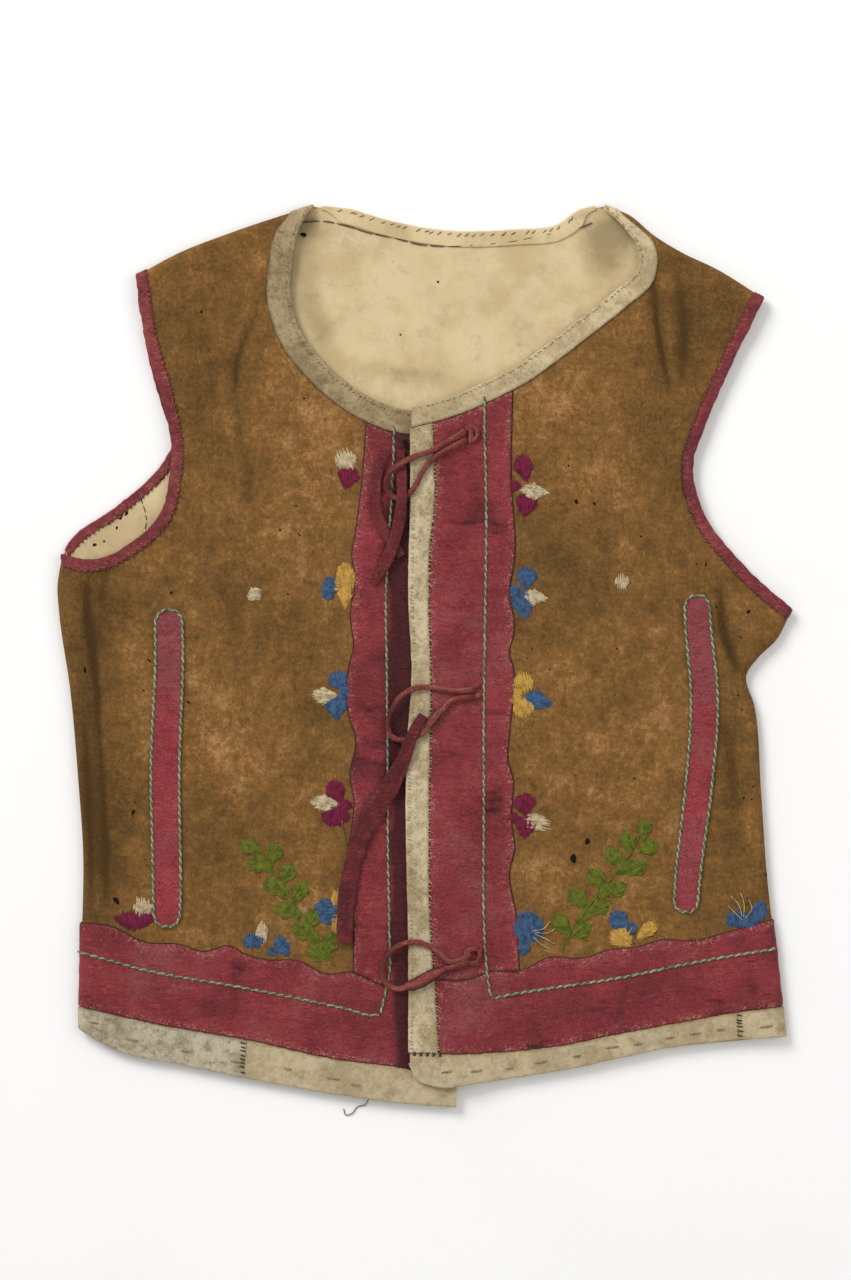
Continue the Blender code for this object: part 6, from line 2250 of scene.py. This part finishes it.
@dataclass
class Cables:
    """The two-strand cables along the bands and round the pocket strips, and the dark outlines."""

    vest: Vest
    threads: Threads
    strand: float = 0.50
    strip_pitch: float = 4.8
    band_pitch: float = 5.4
    inset: float = 0.9
    right_corner: float = -45.0
    left_corner: float = 57.0

    def twist(self, name: str, surface: Surface, line: Line, pitch: float, scale: float = 1.0) -> None:
        """Two strands wound round each other along a line.

        A strand's middle is the line's place + r * (cos p * sideways + sin p * normal), with the phase p
        growing by a full turn each pitch and half a turn between the strands.
        """
        points, normal, run = line_on(surface, line, 0.55, 0.42 * scale)
        along = unit(np.gradient(points, axis=0))
        side = unit(np.cross(along, normal))
        for strand, thread in enumerate(("cable_green", "cable_cream")):
            phase = 2 * math.pi * run / pitch + strand * math.pi + 0.5 * np.sin(run / 9.0)
            ring = np.cos(phase)[:, None] * side + 0.8 * np.sin(phase)[:, None] * normal
            ways = points + 0.5 * scale * ring
            radius = self.strand * scale * (1 + 0.08 * np.sin(run / 2.3))
            Tubes(ways[None], normal[None], radius[None]).piece(f"{name}_{thread}", self.threads[thread])

    def outline(self, name: str, surface: Surface, line: Line) -> None:
        """A dark thread laid along a cut side, a little uneven."""
        points, normal, run = line_on(surface, line, 1.0, 0.12)
        radius = 0.36 * (1 + 0.3 * np.sin(run * 1.9) * np.sin(run / 3.7))
        Tubes(points[None], normal[None], radius[None], 5).piece(name, self.threads["dark"])

    def round_strip(self, ribs: Sequence[Rib]) -> Line:
        """The line round a pocket strip, a little inside its cut side."""
        plan = Bands.stadium(ribs, np.array([0.0, 0.5, 1.0]))
        ring = np.concatenate([plan[:, 0], plan[::-1, 2]])
        middle = np.concatenate([plan[:, 1], plan[::-1, 1]])
        inward = ring + self.inset * unit(middle - ring)
        ends = np.array([plan[0, 1], plan[-1, 1]])
        lift = np.array([0.0, self.inset])
        first = (ends[0] - lift)[None]
        last = (ends[1] + lift)[None]
        half = len(plan)
        keep = slice(3, -3)
        ring = np.concatenate([first, inward[:half][keep], last, inward[half:][keep], first])
        return Line.through(Line(ring, steps=4).points)

    def build(self) -> None:
        """All of them."""
        v = self.vest
        self.twist("cable_right_band", v.right_band, Line(RIGHT_CABLE), self.band_pitch, 0.82)
        self.twist("cable_right_hem", v.right_band, Line(RIGHT_HEM_CABLE), self.band_pitch, 0.9)
        self.twist("cable_left_band", v.left_band, Line(LEFT_CABLE), self.band_pitch, 0.86)
        self.twist("cable_left_hem", v.left_band, Line(LEFT_HEM_CABLE), self.band_pitch, 0.95)
        self.twist("cable_right_pocket", v.right_welt, self.round_strip(RIGHT_WELT), self.strip_pitch, 0.95)
        self.twist("cable_left_pocket", v.left_welt, self.round_strip(LEFT_WELT), self.strip_pitch, 0.95)
        self.outline("outline_right_front", v.right, Line(RIGHT_BAND_OUTER).moved(-0.3, 0))
        self.outline("outline_left_front", v.left, Line(LEFT_BAND_OUTER).moved(0.3, 0))
        right, left = Line(RIGHT_HEM_BAND_TOP), Line(LEFT_HEM_BAND_TOP)
        right_share = right.share_where(0, self.right_corner)
        left_share = left.share_where(0, self.left_corner)
        self.outline("outline_right_hem", v.right, right.part(right_share, 1.0).moved(0, 0.3))
        self.outline("outline_left_hem", v.left, left.part(left_share, 1.0).moved(0, 0.3))
        self.outline("seam_right_hem", v.right_band, right.part(0.0, right_share))
        self.outline("seam_left_hem", v.left_band, left.part(0.03, left_share))


@dataclass
class Embroidery:
    """Satin-stitched flowers and leaves, stems, tufts and loose threads."""

    vest: Vest
    threads: Threads
    thread: float = 0.95
    spacing: float = 0.62
    rings: int = 7
    fullness: float = 1.28
    leaf_fullness: float = 1.46
    ragged: float = 1.0

    def stitches(self, petal: Petal, number: int) -> tuple[Array, Array]:
        """The two plan ends of each thread of a petal, side by side across it.

        At the share s across, from -1 to 1, a thread is the petal's height times the shape's own share long:
        sqrt(1 - s^2) for an oval, a drop narrower at its foot, sqrt(1 - |s|) for a leaf and uneven for a
        tuft.

        Args:
            petal: The patch.
            number: Its place in the table, for the chances.

        Returns:
            The ends, each a row of plan places.
        """
        chance = np.random.default_rng(500 + number)
        full = self.leaf_fullness if petal.thread == "green" else self.fullness
        petal = petal._replace(wide=full * petal.wide, high=full * petal.high)
        count = max(4, int(petal.wide / self.spacing))
        s = np.linspace(-0.96, 0.96, count)
        oval, leaf = 0.5 * np.sqrt(1 - s**2), 0.5 * np.sqrt(1 - np.abs(s))
        ends = {
            Shape.OVAL: (oval, oval),
            Shape.DROP: (oval, 0.5 * (1 - np.abs(s)) ** 0.55),
            Shape.LEAF: (leaf, leaf),
            Shape.TUFT: [oval * chance.uniform(0.6, 1.15, count) for _ in range(2)],
        }
        reach = [petal.high * share + self.ragged * chance.uniform(-1, 1, count)
                 for share in ends[petal.shape]]
        turn = math.radians(petal.turn)
        way = np.array([-math.sin(turn), math.cos(turn)])
        across = np.array([math.cos(turn), math.sin(turn)])
        fan = 0.35 if petal.shape in (Shape.DROP, Shape.LEAF) else 0.0
        foot = np.array([petal.x, petal.y]) + (0.5 * petal.wide * s)[:, None] * across
        lean = (-fan * 0.5 * petal.wide * s)[:, None] * across
        bend = chance.uniform(-0.35, 0.35, (count, 1)) * across
        return foot + reach[0][:, None] * way + bend, foot - reach[1][:, None] * way + lean - bend

    def satin(self, side: str, surface: Surface, petals: Sequence[Petal]) -> None:
        """All petals of one side, one mesh for each thread."""
        for colour in sorted({petal.thread for petal in petals}):
            ends = [self.stitches(petal, k) for k, petal in enumerate(petals) if petal.thread == colour]
            starts = np.concatenate([pair[0] for pair in ends])
            stops = np.concatenate([pair[1] for pair in ends])
            t = np.linspace(0, 1, self.rings)
            plan = starts[:, None] * (1 - t[:, None]) + stops[:, None] * t[:, None]
            points, normal = surface.face(plan)
            chance = np.random.default_rng(len(side) + len(colour))
            lift = (0.75 + 0.3 * chance.uniform(-1, 1, len(starts)))[:, None]
            height = lift * np.sqrt(np.sin(math.pi * np.clip(t, 0.001, 0.999))) - 0.15
            ways = points + height[..., None] * normal
            radius = rounded_ends(self.rings, 0.5 * self.thread, 0.5)[None]
            Tubes(ways, normal, radius, 6, 0.75).piece(f"satin_{colour}_{side}", self.threads[colour])

    def stems(self, side: str, surface: Surface, ways: Sequence[Sequence[Spot]]) -> None:
        """Stems as short overlapping stitches along a line."""
        for number, way in enumerate(ways):
            points, normal, run = line_on(surface, Line(way), 0.8, 0.45)
            radius = 0.5 * (1 + 0.25 * np.sin(run * 1.3))
            finish = self.threads["brown" if number == 2 else "green"]
            Tubes(points[None], normal[None], radius[None], 6, 0.8).piece(f"stem_{side}_{number}", finish)

    def loose(self, surface: Surface, ways: Sequence[Sequence[Spot]]) -> None:
        """Frayed white threads that lie on the leather."""
        for number, way in enumerate(ways):
            points, normal, run = line_on(surface, Line(way), 0.6, 0.9)
            arch = 0.5 * np.sin(math.pi * np.linspace(0, 1, len(points)))[:, None]
            ways_up = (points + arch * normal)[None]
            piece = Tubes(ways_up, normal[None], np.full((1, len(points)), 0.24), 5)
            piece.piece(f"loose_thread_{number}", self.threads["white"])

    def build(self) -> None:
        """All of it."""
        v = self.vest
        self.satin("right", v.right, RIGHT_PETALS)
        self.satin("left", v.left, LEFT_PETALS)
        self.stems("right", v.right, RIGHT_STEMS)
        self.stems("left", v.left, LEFT_STEMS)
        self.loose(v.left, LOOSE_THREADS)


@dataclass
class HandSewing:
    """The whip stitches round the bindings, the running stitches, the joins and the small holes."""

    vest: Vest
    threads: Threads
    bindings: Bindings
    seed: int = 5
    hole_share: float = 1.25

    def arches(self, name: str, surface: Surface, starts: Array, ends: Array, thread: str,
               radius: float, lift: float, sink: float = 0.1, rings: int = 6) -> None:
        """Threads that rise from one place of a plan and go in again at another.

        The height over the surface at the share t is the lift times sin(pi t), less the sink.

        Args:
            name: The piece's name.
            surface: What they are sewn to.
            starts: The plan places where they come up.
            ends: The plan places where they go in.
            thread: The thread's name.
            radius: Half its thickness.
            lift: How high the middle stands.
            sink: How deep the ends go in.
            rings: The rings of each thread.
        """
        t = np.linspace(0, 1, rings)
        points, normal = surface.face(starts[:, None] * (1 - t[:, None]) + ends[:, None] * t[:, None])
        ways = points + (lift * np.sin(math.pi * t) - sink)[None, :, None] * normal
        Tubes(ways, normal, rounded_ends(rings, radius)[None]).piece(name, self.threads[thread])

    def whip(self, name: str, surface: Surface, line: Line, kind: Whip) -> None:
        """Slanted stitches over a plan line of a surface."""
        chance = np.random.default_rng(self.seed + len(name))
        count = max(2, int(line.length / kind.pitch))
        place = (np.arange(count) + 0.5 + kind.uneven * chance.uniform(-0.5, 0.5, count)) / count
        along, left = line.ways(place, 0.004)
        reach = 1 + kind.uneven * chance.uniform(-0.6, 0.6, (2, count, 1))
        starts = line.at(place) + kind.inside * reach[0] * left + 0.5 * kind.slant * along
        ends = line.at(place) - kind.outside * reach[1] * left - 0.5 * kind.slant * along
        self.arches(name, surface, starts, ends, kind.thread, kind.radius, kind.lift)

    def running(self, name: str, surface: Surface, line: Line, length: float, gap: float, thread: str,
                radius: float) -> None:
        """Stitches that follow a line, with gaps between them and three tenths of their length by chance.

        Args:
            name: The piece's name.
            surface: What they are sewn to.
            line: The plan line.
            length: A stitch's length.
            gap: The distance to the next.
            thread: The thread's name.
            radius: Half its thickness.
        """
        chance = np.random.default_rng(self.seed + 3 * len(name))
        count = max(1, int(line.length / (length + gap)))
        place = (np.arange(count) + 0.5) / count
        half = 0.5 * length / line.length * (1 + 0.3 * chance.uniform(-1, 1, count))
        t = np.linspace(-1, 1, 8)
        points, normal = surface.face(line.at(place[:, None] + half[:, None] * t))
        ways = points + (0.32 * np.cos(math.pi * t / 2) - 0.06)[None, :, None] * normal
        Tubes(ways, normal, rounded_ends(8, radius)[None]).piece(name, self.threads[thread])

    def strip_face(self, surface: Surface, thickness: float = STRIP_THICKNESS) -> Layer:
        """The upper face of a strip that lies on a surface."""
        return Layer(surface, thickness, smooth)

    def armholes(self) -> None:
        """Stitches over the free sides of the armhole bindings."""
        v, wide, slim = self.vest, self.bindings.armhole_width, self.bindings.back_armhole_width
        table = (
            ("front_right", v.right, v.right_armhole, -wide),
            ("front_left", v.left, v.left_armhole, wide),
            ("back_right", v.back, v.back_right_armhole, -slim),
            ("back_left", v.back, v.back_left_armhole, slim),
        )
        for side, surface, edge, width in table:
            clear = 9.0 / edge.length
            shares = np.linspace(clear, 1 - clear, 160)
            line = Line.through(edge.at(shares) + width * edge.ways(shares)[1])
            face = self.strip_face(surface, 0.5 * STRIP_THICKNESS)
            self.whip(f"whip_armhole_{side}", face, line, ARMHOLE_WHIP)

    def neck(self) -> None:
        """Ragged stitches along the opening side of the neck bindings, and the line inside the back's."""
        v = self.vest
        for side, surface, right in (("right", v.right, True), ("left", v.left, False)):
            plan = self.bindings.neck_rows(right, 2.0, np.array([0.0, 0.14, 1.0]))
            line = Line.through(plan[2:-3, 1])
            turn = 1.0 if right else -1.0
            for name, kind in (("whip", NECK_WHIP), ("fleck", NECK_FLECK)):
                self.whip(f"{name}_neck_{side}", self.strip_face(surface), line,
                          kind._replace(outside=turn * kind.outside))
        self.running("running_neck_back", self.strip_face(v.back, 0.4), Line(BACK_NECK_STITCH), 10.5, 0.7,
                     "umber", 0.4)
        self.running("seam_inside_armhole", v.back, Line(INSIDE_SEAM), 4.0, 0.6, "dark", 0.28)
        neck = v.back_neck.part(0.08, 0.9).moved(0, -1.2)
        self.whip("whip_neck_back", self.strip_face(v.back), neck, BACK_NECK_WHIP)

    def front_edge(self) -> None:
        """Small stitches along both sides of the strip on the left front's edge, and its crossed join."""
        face, outer = self.strip_face(self.vest.left), self.vest.left_edge.part(0.02, 0.96)
        self.whip("whip_edge_inner", face, Line(EDGE_STRIP_INNER), EDGE_INNER_WHIP)
        self.whip("whip_edge_outer", face, outer.moved(1.6, 0), EDGE_OUTER_WHIP)
        self.whip("cross_first", face, Line(CROSS_ROW), CROSS_WHIP)
        self.whip("cross_second", face, Line(CROSS_ROW), CROSS_WHIP._replace(slant=-CROSS_WHIP.slant))

    def hems(self) -> None:
        """Pale dashes along the hem strips, number n 7 + 2 sin(2.7 n) long, and stitches over their joins."""
        v = self.vest
        for side, surface, places, slope in (("right", v.right, HEM_DASHES_RIGHT, -0.16),
                                             ("left", v.left, HEM_DASHES_LEFT, 0.13)):
            middle = np.asarray(places, float)
            half = 0.5 * (7.0 + 2.0 * np.sin(np.arange(len(middle)) * 2.7))[:, None]
            way = unit(np.array([1.0, slope]))
            self.arches(f"dashes_hem_{side}", self.strip_face(surface), middle - half * way,
                        middle + half * way, "straw", 0.7, 0.3, 0.15, 9)
        joins = (("right", v.right, Line([(RIGHT_HEM_JOIN_X, -239), (RIGHT_HEM_JOIN_X - 0.5, -262)])),
                 ("left", v.left, Line([(LEFT_HEM_JOIN_X, -222), (LEFT_HEM_JOIN_X + 0.8, -239)])))
        for side, surface, line in joins:
            self.whip(f"whip_join_{side}", self.strip_face(surface), line.part(0.08, 0.95), JOIN_WHIP)

    def band_edges(self) -> None:
        """Tiny pale stitches up the top of the right band's side, and flecks beside the left one's."""
        v, outer = self.vest, Line(RIGHT_BAND_OUTER)
        top = outer.part(outer.share_where(1, 40.0), 0.985)
        self.whip("whip_band_right", v.right_band, top.moved(0.8, 0), RIGHT_BAND_WHIP)
        left = Line(LEFT_BAND_OUTER).part(0.62, 0.97)
        self.whip("whip_band_left", v.left_band, left.moved(-0.7, 0), LEFT_BAND_WHIP)

    def pits(self, name: str, surface: Surface, pits: Sequence[Pit], lift: float) -> Thing:
        """Dark holes and dots: uneven ovals that lie just on the leather, the holes' darkness painted shade.

        A ring's distance from the middle is half the size times 1 + 0.18 sin(2a + n) + 0.1 sin(3a + 2n)
        for hole number n.
        """
        table = np.asarray(pits, float)
        angle = np.arange(10) * math.pi / 5
        number = np.arange(len(table))[:, None]
        reach = 0.5 * (1 + 0.18 * np.sin(2 * angle + number) + 0.1 * np.sin(3 * angle + 2 * number))
        turn = np.radians(table[:, 4])[:, None]
        x, y = self.hole_share * reach * (table[:, 2:3] * np.cos(angle), table[:, 3:4] * np.sin(angle))
        ring = np.stack([x * np.cos(turn) - y * np.sin(turn), x * np.sin(turn) + y * np.cos(turn)], axis=-1)
        plan = table[:, None, :2] + ring
        points, normal = surface.face(plan)
        upper, lower = points + lift * normal, points - 0.3 * normal
        count = len(table)
        index = np.arange(count * 10).reshape(count, 10)
        after = np.roll(index, -1, axis=1)
        rim = np.stack([after, index, index + count * 10, after + count * 10], axis=-1).reshape(-1, 4)
        both = np.concatenate([upper.reshape(-1, 3), lower.reshape(-1, 3)])
        faces = [index, index[:, ::-1] + count * 10, rim]
        return dress(make_piece(name, both, faces, [self.threads["hole"]]), "")

    def hem_thread(self) -> None:
        """The end of a broken thread that hangs out of the hem and lies on the ground."""
        points = Line(HEM_THREAD).at(np.linspace(0, 1, 50))
        up = np.broadcast_to(np.array([0.0, 0.0, 1.0]), points.shape)
        Tubes(points[None], up[None], np.full((1, 50), 0.3), 6).piece("hem_thread_end", self.threads["grey"])

    def build(self) -> None:
        """All of it."""
        v = self.vest
        self.armholes()
        self.neck()
        self.front_edge()
        self.hems()
        self.band_edges()
        self.pits("pits_right", v.right, RIGHT_PITS, 0.1)
        self.pits("pits_left", v.left, LEFT_PITS, 0.1)
        self.pits("pits_inside", v.back, INSIDE_PITS, 0.12)
        self.pits("slit_right_band", v.right_band, [LAP_SLIT], 0.1)
        self.hem_thread()


def main() -> None:
    """Builds the vest from the ground up."""
    logging.basicConfig(level=logging.INFO, format="%(message)s")
    Studio().build()
    vest, leathers = Vest(), Leathers()
    ties = Ties(vest, leathers)
    ties.build()
    panels = Panels(vest, leathers).build()
    bindings = Bindings(vest, leathers)
    trims = {**bindings.build(), **Bands(vest, leathers, bindings).build()}
    backs = {name: piece for name, piece in trims.items() if "_back" in name}
    fronts = {name: piece for name, piece in trims.items() if name not in backs}
    table = (
        ("right", ("right",), (0.25, 0.565), 0.095),
        ("left", ("left", "front_edge"), (0.24, 0.55), 0.092),
    )
    for side, words, flat, area in table:
        own = [piece for name, piece in fronts.items() if any(word in name for word in words)]
    threads = Threads()
    Cables(vest, threads).build()
    Embroidery(vest, threads).build()
    HandSewing(vest, threads, bindings).build()


if __name__ == "__main__":
    main()
